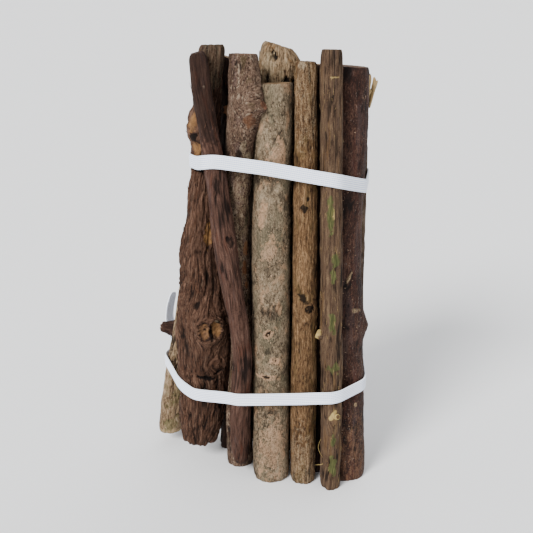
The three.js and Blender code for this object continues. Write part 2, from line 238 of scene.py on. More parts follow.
class Pieces:  # gathers points, faces and what is painted on the points into one mesh
    def __init__(self):
        self.points, self.quads, self.corners, self.paint, self.count = [], [], [], {}, 0

    def add(self, points, quads, corners, paint):
        self.points.append(points)
        self.quads.append(np.asarray(quads, int).reshape(-1, 4) + self.count)
        self.corners.append(np.asarray(corners, int).reshape(-1, 3) + self.count)
        for name, values in paint.items():
            self.paint.setdefault(name, []).append(values)
        self.count += len(points)

    def mesh(self, name, material):
        points = np.concatenate(self.points) * mm
        quads, corners = np.concatenate(self.quads), np.concatenate(self.corners)
        mesh = bpy.data.meshes.new(name)
        mesh.vertices.add(len(points))
        mesh.vertices.foreach_set("co", points.ravel())
        loops = np.concatenate([quads.ravel(), corners.ravel()])
        mesh.loops.add(len(loops))
        mesh.loops.foreach_set("vertex_index", loops)
        starts = np.concatenate([np.arange(len(quads)) * 4, len(quads) * 4 + np.arange(len(corners)) * 3])
        mesh.polygons.add(len(starts))
        mesh.polygons.foreach_set("loop_start", starts)
        mesh.polygons.foreach_set("use_smooth", np.ones(len(starts), bool))
        mesh.update(calc_edges=True)
        for paint, values in self.paint.items():
            values = np.concatenate(values)
            flat = values.ndim == 1
            layer = mesh.attributes.new(paint, "FLOAT" if flat else "FLOAT_VECTOR", "POINT")
            layer.data.foreach_set("value" if flat else "vector", values.astype(np.float32).ravel())
        mesh.materials.append(material)
        mesh.validate()
        return placed(name, mesh)


def gridFaces(rows, columns):  # quads of a tube whose rows are rings
    ring = np.arange(columns)
    row = np.arange(rows - 1)[:, None] * columns
    low, beside = row + ring, row + (ring + 1) % columns
    return np.stack([low, beside, beside + columns, low + columns], axis=-1).reshape(-1, 4)


def coneFaces(rows, columns):  # rings that close in on one last point
    ring = np.arange(columns)
    last = (rows - 1) * columns
    fan = np.stack([last + ring, last + (ring + 1) % columns, np.full(columns, rows * columns)], axis=1)
    return gridFaces(rows, columns), fan


# Sizes are in mm. The cracks run out from the pith, each a little less far than the one before.
sawnEnd = {"pith": 0.12, "cracks": 3, "crackDepth": 0.8, "ring": 0.42, "brokenRim": 0.35}


def endFace(pieces, rim, normal, seed):  # a sawn end: rings from the rim to the pith
    columns = len(rim)
    pith = rim.mean(axis=0) + sawnEnd["pith"] * (rim[int(seed) % columns] - rim.mean(axis=0))
    away = np.linalg.norm(rim - pith, axis=1)
    count = max(6, int(away.mean() / sawnEnd["ring"]))
    first = 0.25 / away.mean()
    shares = np.concatenate([[0], first + (1 - first) * np.arange(count) / count])
    angle = turnsOf(columns)
    points, depths = [], []
    for share in shares:
        spot = rim + (pith - rim) * share
        split = 0
        for crack in range(sawnEnd["cracks"]):
            turn = lattice(np.array([[crack, int(seed), 5]]), 3)[0] * math.pi
            bend = 0.12 * math.sin(9 * share + crack)
            gap = np.abs((angle - turn + bend + math.pi) % (2 * math.pi) - math.pi) * away * (1 - share)
            reach = 0.25 + 0.3 * crack / sawnEnd["cracks"]
            split = np.maximum(split, (1 - smooth(0, 0.5, gap)) * (share > reach) * (share < 0.97))
        rough = 0.16 * clouds(spot / 0.9, 71, 3) + 0.22 * clouds(spot / 4, 72, 2)
        broken = (1 - smooth(0.0, 1.3 / away.mean(), share)) * (0.6 + clouds(spot / 1.5, 73, 2))
        lift = (rough * smooth(0, 0.12, share) - sawnEnd["crackDepth"] * split
                - sawnEnd["brokenRim"] * broken * (share > 0))
        points.append(spot + normal * lift[:, None])
        depths.append(share * away)
    quads, fan = coneFaces(len(shares), columns)
    if normal[2] < 0:
        quads, fan = quads[:, ::-1], fan[:, ::-1]
    every = np.concatenate([*points, pith[None]])
    cut = np.ones(len(every))
    cut[:columns] = 0
    rim = np.append(np.concatenate(depths), away.mean())
    pieces.add(every, quads, fan, paintOf(len(every), grain=every - pith, cut=cut, rim=rim))


# sunk: the share of the stub that is inside the twig. flare and soft: how much wider its foot is and how
# worn its tip. torn and slant: how ragged and how askew its tip is. bare: from which share on the bark is
# off. face: how pale its tip is.
plainStub = {"sunk": 0.35, "flare": 0.15, "soft": 0.5, "torn": 0.1, "slant": 0.1, "bare": 2, "face": 0}


def stubOn(pieces, form, stub, seed):  # a pruned side shoot: a short tapered peg with a sawn or torn tip
    stub = {**plainStub, **stub}
    thick, reach = stub["radius"], stub["reach"]
    columns, rows = 30, max(10, int(reach / 0.5))
    x, y = columnsAt(form, "centres", np.array([stub["z"]]))[0]
    turn = math.radians(stub["turn"])
    way = np.array([math.cos(turn), math.sin(turn), stub["rise"]])
    way /= np.linalg.norm(way)
    side = np.cross(way, (0, 0, 1))
    side /= np.linalg.norm(side)
    over = np.cross(side, way)
    share = np.repeat(stub["sunk"] + (1 - stub["sunk"]) * np.arange(rows) / (rows - 1), columns)
    angles = np.tile(turnsOf(columns), rows)
    around = np.stack([np.cos(angles), np.sin(angles), share * reach / thick], axis=1)
    relief = clouds(around * thick / 0.8, seed + 3, 3)
    radius = thick * (1 + 0.5 * (1 - share) + stub["flare"] * (1 - share) ** 2)
    radius = radius * (1 + 0.1 * clouds(around * 1.3, seed, 2)) + 0.14 * relief
    radius = radius - 0.3 * thick * smooth(0.93, 1, share) * stub["soft"]
    ragged = stub["torn"] * thick * clouds(around * np.array([1.7, 1.7, 0]) + 3, seed + 9, 2)
    slant = stub["slant"] * thick * np.cos(angles)
    along = share * reach + (ragged + slant) * smooth(0.7, 1, share)
    across, upwards = radius * np.cos(angles), radius * np.sin(angles)
    points = np.array([x, y, stub["z"]]) + along[:, None] * way
    points = points + across[:, None] * side + upwards[:, None] * over
    grain = np.stack([across, upwards, along], axis=1)
    bare = smooth(stub["bare"] - 0.2, stub["bare"], share + 0.15 * clouds(around * 2, seed + 5, 2))
    paint = paintOf(len(points), grain=grain, relief=relief, wood=bare)
    pieces.add(points, gridFaces(rows, columns)[:, ::-1], np.zeros((0, 3)), paint)
    stubTip(pieces, points[-columns:], way, seed, stub)


def stubTip(pieces, rim, way, seed, stub):  # the small cut face at a stub's tip
    columns = len(rim)
    middle = rim.mean(axis=0)
    shares = (0, 0.12, 0.3, 0.5, 0.7, 0.88)
    rough = stub["torn"] * stub["radius"]
    points = []
    for share in shares:
        spot = rim + (middle - rim) * share
        points.append(spot + way * (rough * clouds(spot / 0.8, seed, 2) * (share > 0))[:, None])
    every = np.concatenate([*points, middle[None]])
    quads, fan = coneFaces(len(shares), columns)
    away = np.append(np.repeat(np.array(shares) * stub["radius"], columns), stub["radius"])
    cut = np.ones(len(every))
    cut[:columns] = 0
    wood = np.full(len(every), float(stub["face"]))
    paint = paintOf(len(every), grain=every - middle, cut=cut, rim=away + 0.5, wood=wood)
    pieces.add(every, quads[:, ::-1], fan[:, [1, 0, 2]], paint)


def strawOn(pieces, straw):  # a loose fibre, pointed at both ends
    columns, rows = 6, 20
    share = np.arange(rows) / (rows - 1)
    known = np.array(straw["through"], float)
    stations = np.linspace(0, 1, len(known))
    path = np.stack([np.interp(share, stations, column) for column in known.T], axis=1)
    for turn in range(6):
        path[1:-1] = (path[:-2] + 2 * path[1:-1] + path[2:]) / 4
    way = np.gradient(path, axis=0)
    way /= np.linalg.norm(way, axis=1)[:, None]
    side = np.cross(way, (0, 1, 0.3))
    side /= np.linalg.norm(side, axis=1)[:, None]
    over = np.cross(way, side)
    thick = straw["radius"] * np.sqrt(np.sin(math.pi * (0.02 + 0.96 * share)))
    angle = turnsOf(columns)[:, None]
    rings = thick[:, None, None] * (np.cos(angle) * side[:, None] + np.sin(angle) * over[:, None])
    points = np.concatenate([(path[:, None] + rings).reshape(-1, 3), path[:1], path[-1:]])
    ring = np.arange(columns)
    last = (rows - 1) * columns
    foot = np.stack([(ring + 1) % columns, ring, np.full(columns, rows * columns)], axis=1)
    head = np.stack([last + ring, last + (ring + 1) % columns, np.full(columns, rows * columns + 1)], axis=1)
    paint = paintOf(len(points), grain=points, wood=np.ones(len(points)))
    pieces.add(points, gridFaces(rows, columns), np.concatenate([foot, head]), paint)


# mesh: the width and height of its quads. sway: how far the grain wanders. level: the percentage of the
# relief that lies below the solid's skin. worn: how deep and how far from the cut the edge is worn. nick:
# how uneven the edge is.
plainTwig = {"mesh": (0.55, 0.6), "sway": 1.2, "level": 48, "worn": (0.9, 1.0), "nick": 0.35,
             "marks": (), "stubs": (), "straws": ()}


def twigOf(name, twig, material):
    # A twig with stubs is read without what stands out from its solid by more than bump.
    twig = {"bump": 1.2 if "stubs" in twig else 99, **plainTwig, **twig}
    form = formOf(twig["node"], twig["bump"])
    across, up = twig["mesh"]
    around = int(2 * math.pi * form["radius"] / across)
    rows = int((form["head"] - form["foot"]) / up)
    angles = turnsOf(around)
    levels = np.linspace(form["foot"], form["head"], rows)
    centres = np.repeat(columnsAt(form, "centres", levels), around, axis=0)
    radius = radiiAt(form, levels, angles).ravel()
    theta, z = np.tile(angles, rows), np.repeat(levels, around)
    # Marks push the grain aside, so that it flows round them.
    bent, bentZ = theta.copy(), z.copy()
    marks = []
    for index, (kind, mark) in enumerate(twig["marks"]):
        away, sideways, upward = spread(mark, theta, z, radius, twig["seed"] + 31 * index)
        marks.append((kind, mark, away))
        if "flow" in mark:
            reach = (sideways / mark["wide"]) ** 2 + (upward / mark["tall"]) ** 2
            pull = mark["flow"] * np.exp(-reach / 9) / np.maximum(reach, 0.7)
            bent -= pull * sideways / radius
            bentZ += 0.5 * pull * upward
    bent += twig["sway"] * clouds(np.stack([z / 28, theta * 0, theta * 0], axis=1), twig["seed"], 2) / radius
    grain = np.stack([radius * np.cos(bent), radius * np.sin(bent), bentZ], axis=1)
    height = np.zeros(len(z))
    for kind, layer in twig["layers"]:
        height = height + kind(grain, layer)
    height -= np.percentile(height, twig["level"])
    deepest = max(0.15, -np.percentile(height, 3))
    masks = {mask: np.zeros(len(z)) for mask in maskNames}
    for kind, mark, away in marks:
        height = applyMark(kind, mark, away, height, masks)
    relief = height / deepest
    # The bark curls in a little at each cut, and its broken edge is uneven.
    fromEnd = np.minimum(z - form["foot"], form["head"] - z)
    rimPlace = np.stack([np.cos(theta), np.sin(theta), z * 0.02], axis=1) * radius[:, None]
    edge = clouds(rimPlace / 2.2, twig["seed"] + 5, 3)
    wornDepth, wornReach = twig["worn"]
    height -= (1 + 0.7 * edge) * wornDepth * np.exp(-fromEnd / wornReach)
    out = radius + height
    x, y = out * np.cos(theta), out * np.sin(theta)
    felt = 2 * abs(radius)
    footShare = np.clip(1 - (z - form["foot"]) / felt, 0, 1)
    headShare = np.clip(1 - (form["head"] - z) / felt, 0, 1)
    tiltX = footShare * form["footSlope"][0] + headShare * form["headSlope"][0]
    tiltY = footShare * form["footSlope"][1] + headShare * form["headSlope"][1]
    nick = twig["nick"] * edge * np.exp(-fromEnd / 2.5)
    rise = tiltX * x + tiltY * y + np.where(footShare > 0, np.maximum(nick, 0), 0)
    rise = rise + headShare * np.minimum(nick, 0)
    points = np.stack([centres[:, 0] + x, centres[:, 1] + y, z + rise], axis=1)
    ends = smooth(3, 6, fromEnd)  # 0 where nothing grows, beside a cut
    pieces = Pieces()
    paint = paintOf(len(z), grain=grain, relief=relief, growth=ends, **masks)
    pieces.add(points, gridFaces(rows, around), np.zeros((0, 3)), paint)
    endFace(pieces, points[:around], np.array([0, 0, -1.0]), twig["seed"] + 1)
    endFace(pieces, points[-around:], np.array([0, 0, 1.0]), twig["seed"] + 2)
    for index, stub in enumerate(twig["stubs"]):
        stubOn(pieces, form, stub, twig["seed"] + 50 + index)
    for straw in twig["straws"]:
        strawOn(pieces, straw)
    thing = pieces.mesh(name, material)
    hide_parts(twig["node"])
    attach(thing, "root")
    return thing, points


# Shader maths as expressions

class Wire:  # a socket that adds its Math nodes when it is reckoned with
    def __init__(self, tree, socket):
        self.tree, self.socket = tree, socket

    def __add__(self, other): return self.tree.maths("ADD", self, other)
    def __radd__(self, other): return self.tree.maths("ADD", other, self)
    def __sub__(self, other): return self.tree.maths("SUBTRACT", self, other)
    def __rsub__(self, other): return self.tree.maths("SUBTRACT", other, self)
    def __mul__(self, other): return self.tree.maths("MULTIPLY", self, other)
    def __rmul__(self, other): return self.tree.maths("MULTIPLY", other, self)
    def __truediv__(self, other): return self.tree.maths("DIVIDE", self, other)
    def __rtruediv__(self, other): return self.tree.maths("DIVIDE", other, self)
    def __pow__(self, other): return self.tree.maths("POWER", self, other)


class Nodes:  # one node tree, for a material or for geometry
    def __init__(self, tree):
        self.tree = tree

    def node(self, kind, settings=None, inputs=None):
        made = self.tree.nodes.new(kind)
        for key, value in (settings or {}).items():
            if key == "stops":
                self.setStops(made.color_ramp, value)
            else:
                setattr(made, key, value)
        for key, value in (inputs or {}).items():
            if isinstance(value, Wire):
                self.tree.links.new(value.socket, made.inputs[key])
            elif value is not None:
                made.inputs[key].default_value = value
        return made

    def setStops(self, ramp, stops):
        while len(ramp.elements) < len(stops):
            ramp.elements.new(0.5)
        for element, (place, colour) in zip(ramp.elements, stops):
            element.position, element.color = place, colour

    def wire(self, kind, settings=None, inputs=None, output=0):
        return Wire(self, self.node(kind, settings, inputs).outputs[output])

    def maths(self, operation, *values, clamp=False):
        settings = {"operation": operation, "use_clamp": clamp}
        return self.wire("ShaderNodeMath", settings, dict(enumerate(values)))

    def clamped(self, value):
        return self.maths("ADD", value, 0.0, clamp=True)

    def step(self, value, low, high):  # 0 below low, 1 above high
        return self.wire("ShaderNodeMapRange", {"interpolation_type": "SMOOTHSTEP"},
                         {"Value": value, "From Min": low, "From Max": high})

    def vector(self, operation, *values):
        return self.wire("ShaderNodeVectorMath", {"operation": operation}, dict(enumerate(values)))

    def mix(self, first, second, share, blend="MIX"):
        settings = {"data_type": "RGBA", "blend_type": blend}
        return self.wire("ShaderNodeMix", settings, {0: share, 6: first, 7: second}, 2)

    def painted(self, name, output="Fac"):
        return self.wire("ShaderNodeAttribute", {"attribute_name": name}, output=output)

    def cloud(self, place, scale, detail, **more):
        inputs = {"Vector": place, "Scale": scale, "Detail": detail, **more}
        return self.wire("ShaderNodeTexNoise", {}, inputs)

    def bumped(self, strength, distance, height):
        inputs = {"Strength": strength, "Distance": distance * mm, "Height": height}
        return self.wire("ShaderNodeBump", {}, inputs)

    def shade(self, colour, roughness, normal, specular):
        shader = self.wire("ShaderNodeBsdfPrincipled", {}, {
            "Base Color": colour, "Roughness": roughness, "Normal": normal, "Specular IOR Level": specular})
        self.node("ShaderNodeOutputMaterial", {}, {"Surface": shader})


def newMaterial(name):  # an empty material, and what makes its nodes
    material = bpy.data.materials.new(name)
    material.use_nodes = True
    material.node_tree.nodes.clear()
    return material, Nodes(material.node_tree)


def newTree(name, inputs, output):  # an empty tree for geometry, what makes its nodes, and its inputs
    tree = bpy.data.node_groups.new(name, "GeometryNodeTree")
    for key, kind in inputs.items():
        tree.interface.new_socket(key, in_out="INPUT", socket_type="NodeSocket" + kind)
    tree.interface.new_socket(output, in_out="OUTPUT", socket_type="NodeSocketGeometry")
    make = Nodes(tree)
    given = make.node("NodeGroupInput")
    return tree, make, {key: Wire(make, given.outputs[key]) for key in inputs}


def tint(red, green, blue, depth=1.0):  # a colour as it is seen in this light, from 0 to 255
    linear = [part / 255 / 12.92 if part < 10.3 else ((part / 255 + 0.055) / 1.055) ** 2.4
              for part in (red, green, blue)]
    deep = [depth * part ** 1.12 for part in linear]  # the view lifts dark tones, so they start deeper
    return (*deep, 1)


# Sizes are in mm. ground: the bark's dark, middle and light colours. streak, fine and cloud: the sizes of
# its noises, and stretch and fineStretch how much longer they are up the twig. broad, contrast, fineness
# and gritty: how strong they are. deep: the colour of the thin grain lines and of the painted shade in the
# hollows. crevice: where that painted shade of the hollows starts, creviceEnd where it is full and
# creviceShade how dark it is. ridgeHighlight: how strong the painted highlight on the high ridges is.
# hollow: the near-black painted shade in pits and scar creases, also the colour of dark patches of bark.
# end: a cut's light, dark and heart colours. barkDepth: how thick the bark is at a cut.
plainLook = dict(
    depth=0.62, cloud=9, fine=0.6, fineStretch=5, grit=0.45,
    broad=1.3, contrast=2.2, fineness=1.6, gritty=0.8, blotches=(),
    deep=(24, 14, 10), hollow=(22, 13, 9), crevice=0.15, creviceEnd=1.0, creviceShade=0.85,
    ridgeHighlight=0.25, paleColour=(190, 170, 150), mossColour=(78, 92, 50), mossLight=(124, 126, 80),
    rings=5.2, heart=5, barkDepth=0.8, bump=0.6, bumpFine=0.7, bumpStreak=0.8, bumpGrit=0.5,
    roughness=0.82, specular=0.12,
)


def barkMaterial(name, look):
    look = {**plainLook, **look}
    material, make = newMaterial(name)
    grain = make.painted("grain", "Vector")

    def pattern(size, stretch=1, detail=4, rough=0.6, warp=0.0, shift=0.0):
        scale = (1 / size, 1 / size, 1 / size / stretch)
        scaled = make.vector("MULTIPLY_ADD", grain, scale, (shift, shift, shift))
        return make.cloud(scaled, 1.0, detail, Roughness=rough, Distortion=warp)

    def bright(colour):
        return tint(*colour, look["depth"])

    broad = pattern(look["cloud"], 2.5, 3)
    streak = pattern(look["streak"], look["stretch"], 5, 0.7, shift=4.1)
    fine = pattern(look["fine"], look["fineStretch"], 3, 0.7, shift=8.3)
    grit = pattern(look["grit"], 1.3, 2, 0.7, shift=1.7)
    tone = (broad - 0.5) * look["broad"] + (streak - 0.5) * look["contrast"]
    tone = make.clamped(tone + (fine - 0.5) * look["fineness"] + (grit - 0.5) * look["gritty"] + 0.5)
    dark, middle, light = (bright(colour) for colour in look["ground"])
    colour = make.mix(make.mix(dark, middle, make.step(tone, 0.02, 0.5)), light, make.step(tone, 0.5, 1.0))
    for index, spot in enumerate(look["blotches"]):
        field = pattern(spot["size"], spot["stretch"], warp=0.3, shift=13.7 * (index + 1))
        ragged = field + (fine - 0.5) * 0.14 + (grit - 0.5) * 0.1
        share = make.step(ragged, spot["start"], spot["start"] + spot["soft"]) * spot["strength"]
        colour = make.mix(colour, bright(spot["colour"]), share)
    if "lines" in look:  # thin dark lines that run with the grain
        lines = look["lines"]
        field = pattern(lines["size"], lines["stretch"], 3, 0.55, shift=21.9)
        thin = make.maths("ABSOLUTE", field - 0.5) * -1
        share = make.step(thin, -lines["width"], -0.2 * lines["width"]) * make.step(broad + grit, 0.75, 1.1)
        colour = make.mix(colour, bright(look["deep"]), share * lines["strength"])
    # Painted shade and painted highlight: where the relief is low, in the hollows, the bark is darkened
    # towards the deep colour, and where it is high, on the ridges, it is lightened towards the light colour.
    relief = make.painted("relief")
    low = make.step(relief * -1 + (fine - 0.5) * 0.5, look["crevice"], look["creviceEnd"])
    colour = make.mix(colour, bright(look["deep"]), low * look["creviceShade"])
    high = make.step(relief, 0.0, 0.8) * look["ridgeHighlight"] * make.step(fine, 0.4, 0.6)
    colour = make.mix(colour, light, high)

    def mask(kind, ragged=1.0):  # a painted mark with an edge broken up by the grain
        painted = make.painted(kind)
        noisy = painted * 2.4 + ((streak - 0.5) * 1.6 + (grit - 0.5) * 1.4) * ragged
        return make.step(noisy, 0.35, 0.95) * make.clamped(painted * 1.15)

    # Bare wood, pale crust, green algae, and the dark mask: painted shade in pits and scar creases, and dark
    # patches of bark. The pale mask also paints light on a few patches of bark that lie in shade.
    woodTone = make.clamped((pattern(0.8, 9, 4, 0.7, shift=3.3) - 0.5) * 3 + 0.5)
    colour = make.mix(colour, make.mix(*(bright(part) for part in look["wood"]), woodTone), mask("wood"))
    crust = 0.25 + make.step(fine + (grit - 0.5), 0.38, 0.62) * 0.6
    colour = make.mix(colour, bright(look["paleColour"]), mask("pale", 1.8) * crust)
    moss = make.mix(bright(look["mossColour"]), bright(look["mossLight"]), make.step(fine, 0.4, 0.65))
    colour = make.mix(colour, moss, mask("moss", 1.5) * 0.85)
    # Painted shade: pits and scar creases are painted near-black in the hollow colour; on dark patches it is
    # the bark's own tone.
    colour = make.mix(colour, bright(look["hollow"]), mask("dark") * 0.92)
    # The sawn end: bark outside, then growth rings round the pith.
    flat = make.vector("MULTIPLY", grain, (1, 1, 0.25))
    wobble = make.cloud(flat, 0.5, 3)
    away = make.wire("ShaderNodeVectorMath", {"operation": "LENGTH"}, {0: flat}, "Value")
    rings = make.maths("SINE", (away + wobble * 1.6) * look["rings"]) * 0.5 + 0.5
    pores = make.cloud(flat, 2.6, 4, Roughness=0.7)
    endLight, endDark, heart = (bright(part) for part in look["end"])
    ends = make.mix(endLight, endDark, make.clamped(rings * 0.45 + (pores - 0.4) * 1.3))
    inner = make.step(away * -1, -0.42 * look["heart"], -0.1 * look["heart"])
    ends = make.mix(ends, heart, inner * 0.7)
    ends = make.mix(ends, endDark, make.step(pores + (wobble - 0.5), 0.62, 0.75) * 0.7)
    rim = make.painted("rim") + (pores - 0.5) * 0.5
    ends = make.mix(ends, dark, 1 - make.step(rim, look["barkDepth"] * 0.7, look["barkDepth"]))
    colour = make.mix(colour, ends, make.painted("cut"))
    # Fine unevenness, finer than the mesh.
    bumps = fine * look["bumpFine"] + streak * look["bumpStreak"] + grit * look["bumpGrit"]
    rough = make.clamped(look["roughness"] + (fine - 0.5) * 0.3)
    make.shade(colour, rough, make.bumped(look["bump"], 0.9, bumps), look["specular"])
    return material


# The twigs

def markMaker(kind, fifth):  # makes marks at a height and a direction, so wide and so tall
    def mark(z, turn, wide, tall, value, **more):
        return kind, {"z": z, "turn": turn, "wide": wide, "tall": tall, fifth: value, **more}
    return mark


boss, pit, scar = (markMaker(kind, "high") for kind in ("boss", "pit", "scar"))
patch = markMaker("patch", "paint")


def bark(kind, wide, long, deep, seed, **more):  # one layer of relief
    return kind, {"wide": wide, "long": long, "deep": deep, "seed": seed, **more}


def blotch(colour, size, stretch, start, strength, soft=0.05):  # colour where a noise passes start
    return dict(colour=colour, size=size, stretch=stretch, start=start, strength=strength, soft=soft)


freshEnd = ((164, 136, 104), (126, 98, 70), (98, 72, 50))
greyEnd = ((150, 134, 112), (112, 96, 78), (84, 68, 54))

paleLeft = dict(
    node="pale_left_twig", slot="pale_bark", seed=101,
    layers=[
        bark(lumps, 7, 12, 0.5, 1),
        bark(furrows, 1.8, 11, 0.35, 2, start=0.5),
        bark(fibres, 0.9, 4, 0.22, 3),
    ],
    marks=[
        patch(12, 262, 4, 5, "moss", strength=0.4, ragged=0.9),
        patch(30, 285, 3, 6, "moss", strength=0.35, ragged=0.9),
        # Painted light: this pale patch lifts bark that lies in shade beside the burl of the gnarled twig.
        patch(74, 270, 5, 12, "pale", strength=0.7, ragged=0.8),
        patch(8, 270, 9, 1.6, "wood", strength=0.6, ragged=0.7),
    ],
    look=dict(
        ground=((84, 64, 48), (150, 126, 99), (194, 170, 141)), streak=1.4, stretch=3,
        blotches=[
            blotch((98, 92, 58), 4, 1.4, 0.54, 0.6, soft=0.1),
            blotch((182, 164, 140), 2.2, 1.6, 0.6, 0.7),
            blotch((58, 42, 32), 1.8, 2.4, 0.6, 0.8),
        ],
        wood=((176, 150, 112), (206, 184, 146)), end=freshEnd,
    ),
)

gnarled = dict(
    node="gnarled_twig", slot="furrowed_bark", seed=202, worn=(1.4, 1.6), nick=0.8, bump=1.9, level=42,
    mesh=(0.44, 0.5), sway=3.5,
    layers=[
        bark(lumps, 10, 16, 0.9, 11),
        bark(furrows, 3.4, 20, 0.7, 12, wander=0.5, start=0.5),
        bark(furrows, 1.5, 22, 0.55, 13, wander=0.3, start=0.35),
        bark(furrows, 0.95, 18, 0.4, 14, wander=0.25, start=0.3),
        bark(fibres, 0.6, 8, 0.3, 15),
    ],
    marks=[
        boss(75, 284, 10, 12, 0.9, ragged=0.1),
        patch(75.5, 287.5, 6.4, 6.2, "wood", strength=0, flow=1),
        scar(75.6, 274, 2.7, 4.6, 0.8, ragged=0.45, grit=0.7, paint=0.42),
        scar(76.4, 300, 2.8, 4.2, 0.8, ragged=0.5, grit=0.7, paint=0.6),
        pit(74.5, 288, 0.8, 5.2, 1.5, ragged=0.4),
        pit(76.6, 275, 0.6, 0.6, 0.6, ragged=0.5),
        patch(80.5, 303, 0.9, 0.7, "pale", high=0.3),
        pit(49.5, 288, 5.5, 0.9, 1.1, lean=14, ragged=0.8),
        pit(53, 312, 3.6, 0.7, 1.0, lean=-30, ragged=0.8),
        boss(57, 305, 4.5, 4.0, 1.0, flow=0.6),
        patch(123, 302, 2.0, 7.5, "wood", high=-0.5, ragged=0.5),
        boss(170, 205, 7.5, 11, 2.6, flow=0.5),
        patch(162, 236, 3.6, 5.5, "wood", ragged=0.9, high=-0.4, strength=0.62),
        patch(175, 222, 2.2, 4.2, "wood", ragged=0.9, high=-0.4, strength=0.55),
        pit(168, 228, 1.6, 2.6, 0.8, ragged=0.7),
        pit(154.5, 240, 4, 2.2, 0.6, ragged=0.6),
        patch(199, 280, 14, 13, "pale", ragged=0.9, strength=0.42),
        patch(60, 150, 5, 12, "moss", ragged=0.9, strength=0.5),
    ],
    look=dict(
        ground=((46, 30, 22), (90, 64, 50), (134, 104, 86)), streak=0.8, stretch=14, contrast=2.2,
        fineStretch=9,
        blotches=[
            blotch((122, 102, 86), 1.1, 9, 0.6, 0.5),
            blotch((92, 62, 44), 3.2, 2, 0.56, 0.5, soft=0.1),
        ],
        lines=dict(size=1.1, stretch=18, width=0.04, strength=0.7), crevice=0.08, creviceEnd=0.95,
        creviceShade=0.88, ridgeHighlight=0.36, paleColour=(128, 118, 98), wood=((92, 66, 46), (184, 140, 92)),
        end=greyEnd, barkDepth=1.6,
    ),
)

leaning = dict(
    node="leaning_fibrous_twig", slot="fibrous_bark", seed=303, worn=(1.5, 1.7), nick=1.0,
    mesh=(0.42, 0.55),
    layers=[
        bark(lumps, 6, 14, 0.5, 21),
        bark(furrows, 1.2, 24, 0.26, 22, wander=0.12),
        bark(fibres, 0.6, 10, 0.22, 23),
    ],
    marks=[
        boss(160, 200, 5, 7, 0.7, flow=0.4),
        pit(125, 306, 1.9, 2.6, 0.5, flow=0.9, ragged=0.9, strength=0.4),
        boss(125, 304, 3, 4, 0.6),
        boss(86, 285, 3.4, 9, 0.5, flow=0.3),
        patch(191, 290, 0.45, 0.5, "pale", high=0.2),
        patch(193, 262, 14, 30, "dark", ragged=0.5, strength=0.56),
    ],
    look=dict(
        ground=((58, 39, 32), (97, 71, 60), (128, 99, 86)), streak=0.7, stretch=24, contrast=1.8, fine=0.5,
        fineStretch=14, broad=0.9,
        blotches=[
            blotch((104, 62, 44), 2.6, 6, 0.56, 0.5, soft=0.1),
            blotch((96, 80, 80), 3, 5, 0.57, 0.4, soft=0.1),
            blotch((46, 29, 24), 4, 8, 0.57, 0.24, soft=0.12),
        ],
        lines=dict(size=1.2, stretch=30, width=0.03, strength=0.5), crevice=0.1, creviceShade=0.85,
        ridgeHighlight=0.2, wood=((120, 84, 60), (160, 120, 88)),
        end=((98, 74, 60), (72, 52, 42), (60, 42, 34)),
    ),
)

mottled = dict(
    node="mottled_twig", slot="mottled_bark", seed=404, worn=(0.5, 0.8),
    layers=[
        bark(lumps, 6, 10, 0.5, 31),
        bark(lumps, 1.0, 1.6, 0.12, 34),
        bark(furrows, 1.6, 12, 0.2, 32, wander=0.3, start=0.5),
        bark(fibres, 0.6, 3, 0.2, 33),
    ],
    marks=[
        patch(118, 312, 1.4, 4.2, "wood", ragged=0.8, high=0.3),
        patch(108, 306, 1.6, 5.5, "wood", ragged=0.8, high=0.3),
        patch(100, 312, 1.0, 2.6, "wood", ragged=0.8),
        boss(183, 332, 6.5, 12, 3.6, flow=0.5),
        patch(177, 296, 2.6, 3.2, "wood", ragged=0.9, strength=0.5),
        patch(159, 306, 3.2, 5, "pale", ragged=0.8, strength=0.8),
        patch(165, 285, 1.2, 4, "pale", ragged=0.8, strength=0.6),
        patch(134, 300, 5, 22, "moss", ragged=0.9, strength=0.22),
        # Painted light: this pale patch lifts bark that the leaning twig shades.
        patch(132, 285, 7, 28, "pale", ragged=0.9, strength=0.3),
    ],
    stubs=[
        dict(z=178.5, turn=326, reach=12.2, radius=3.3, rise=0.5, slant=0.2, face=0.3, torn=0.2, flare=0.6),
    ],
    look=dict(
        ground=((58, 42, 33), (106, 84, 70), (154, 130, 111)), streak=0.9, stretch=3, contrast=2.0,
        fine=0.45, fineStretch=2, fineness=2.0, gritty=1.4,
        blotches=[
            blotch((172, 154, 134), 1.5, 2.2, 0.58, 0.75),
            blotch((106, 86, 84), 4.5, 2, 0.54, 0.45, soft=0.1),
            blotch((88, 76, 50), 4, 3, 0.56, 0.55, soft=0.08),
            blotch((46, 30, 23), 1.3, 2.4, 0.59, 0.8),
        ],
        paleColour=(160, 146, 120), mossColour=(102, 92, 62), wood=((96, 64, 44), (150, 104, 72)),
        end=((168, 126, 102), (134, 96, 76), (104, 72, 56)),
    ),
)

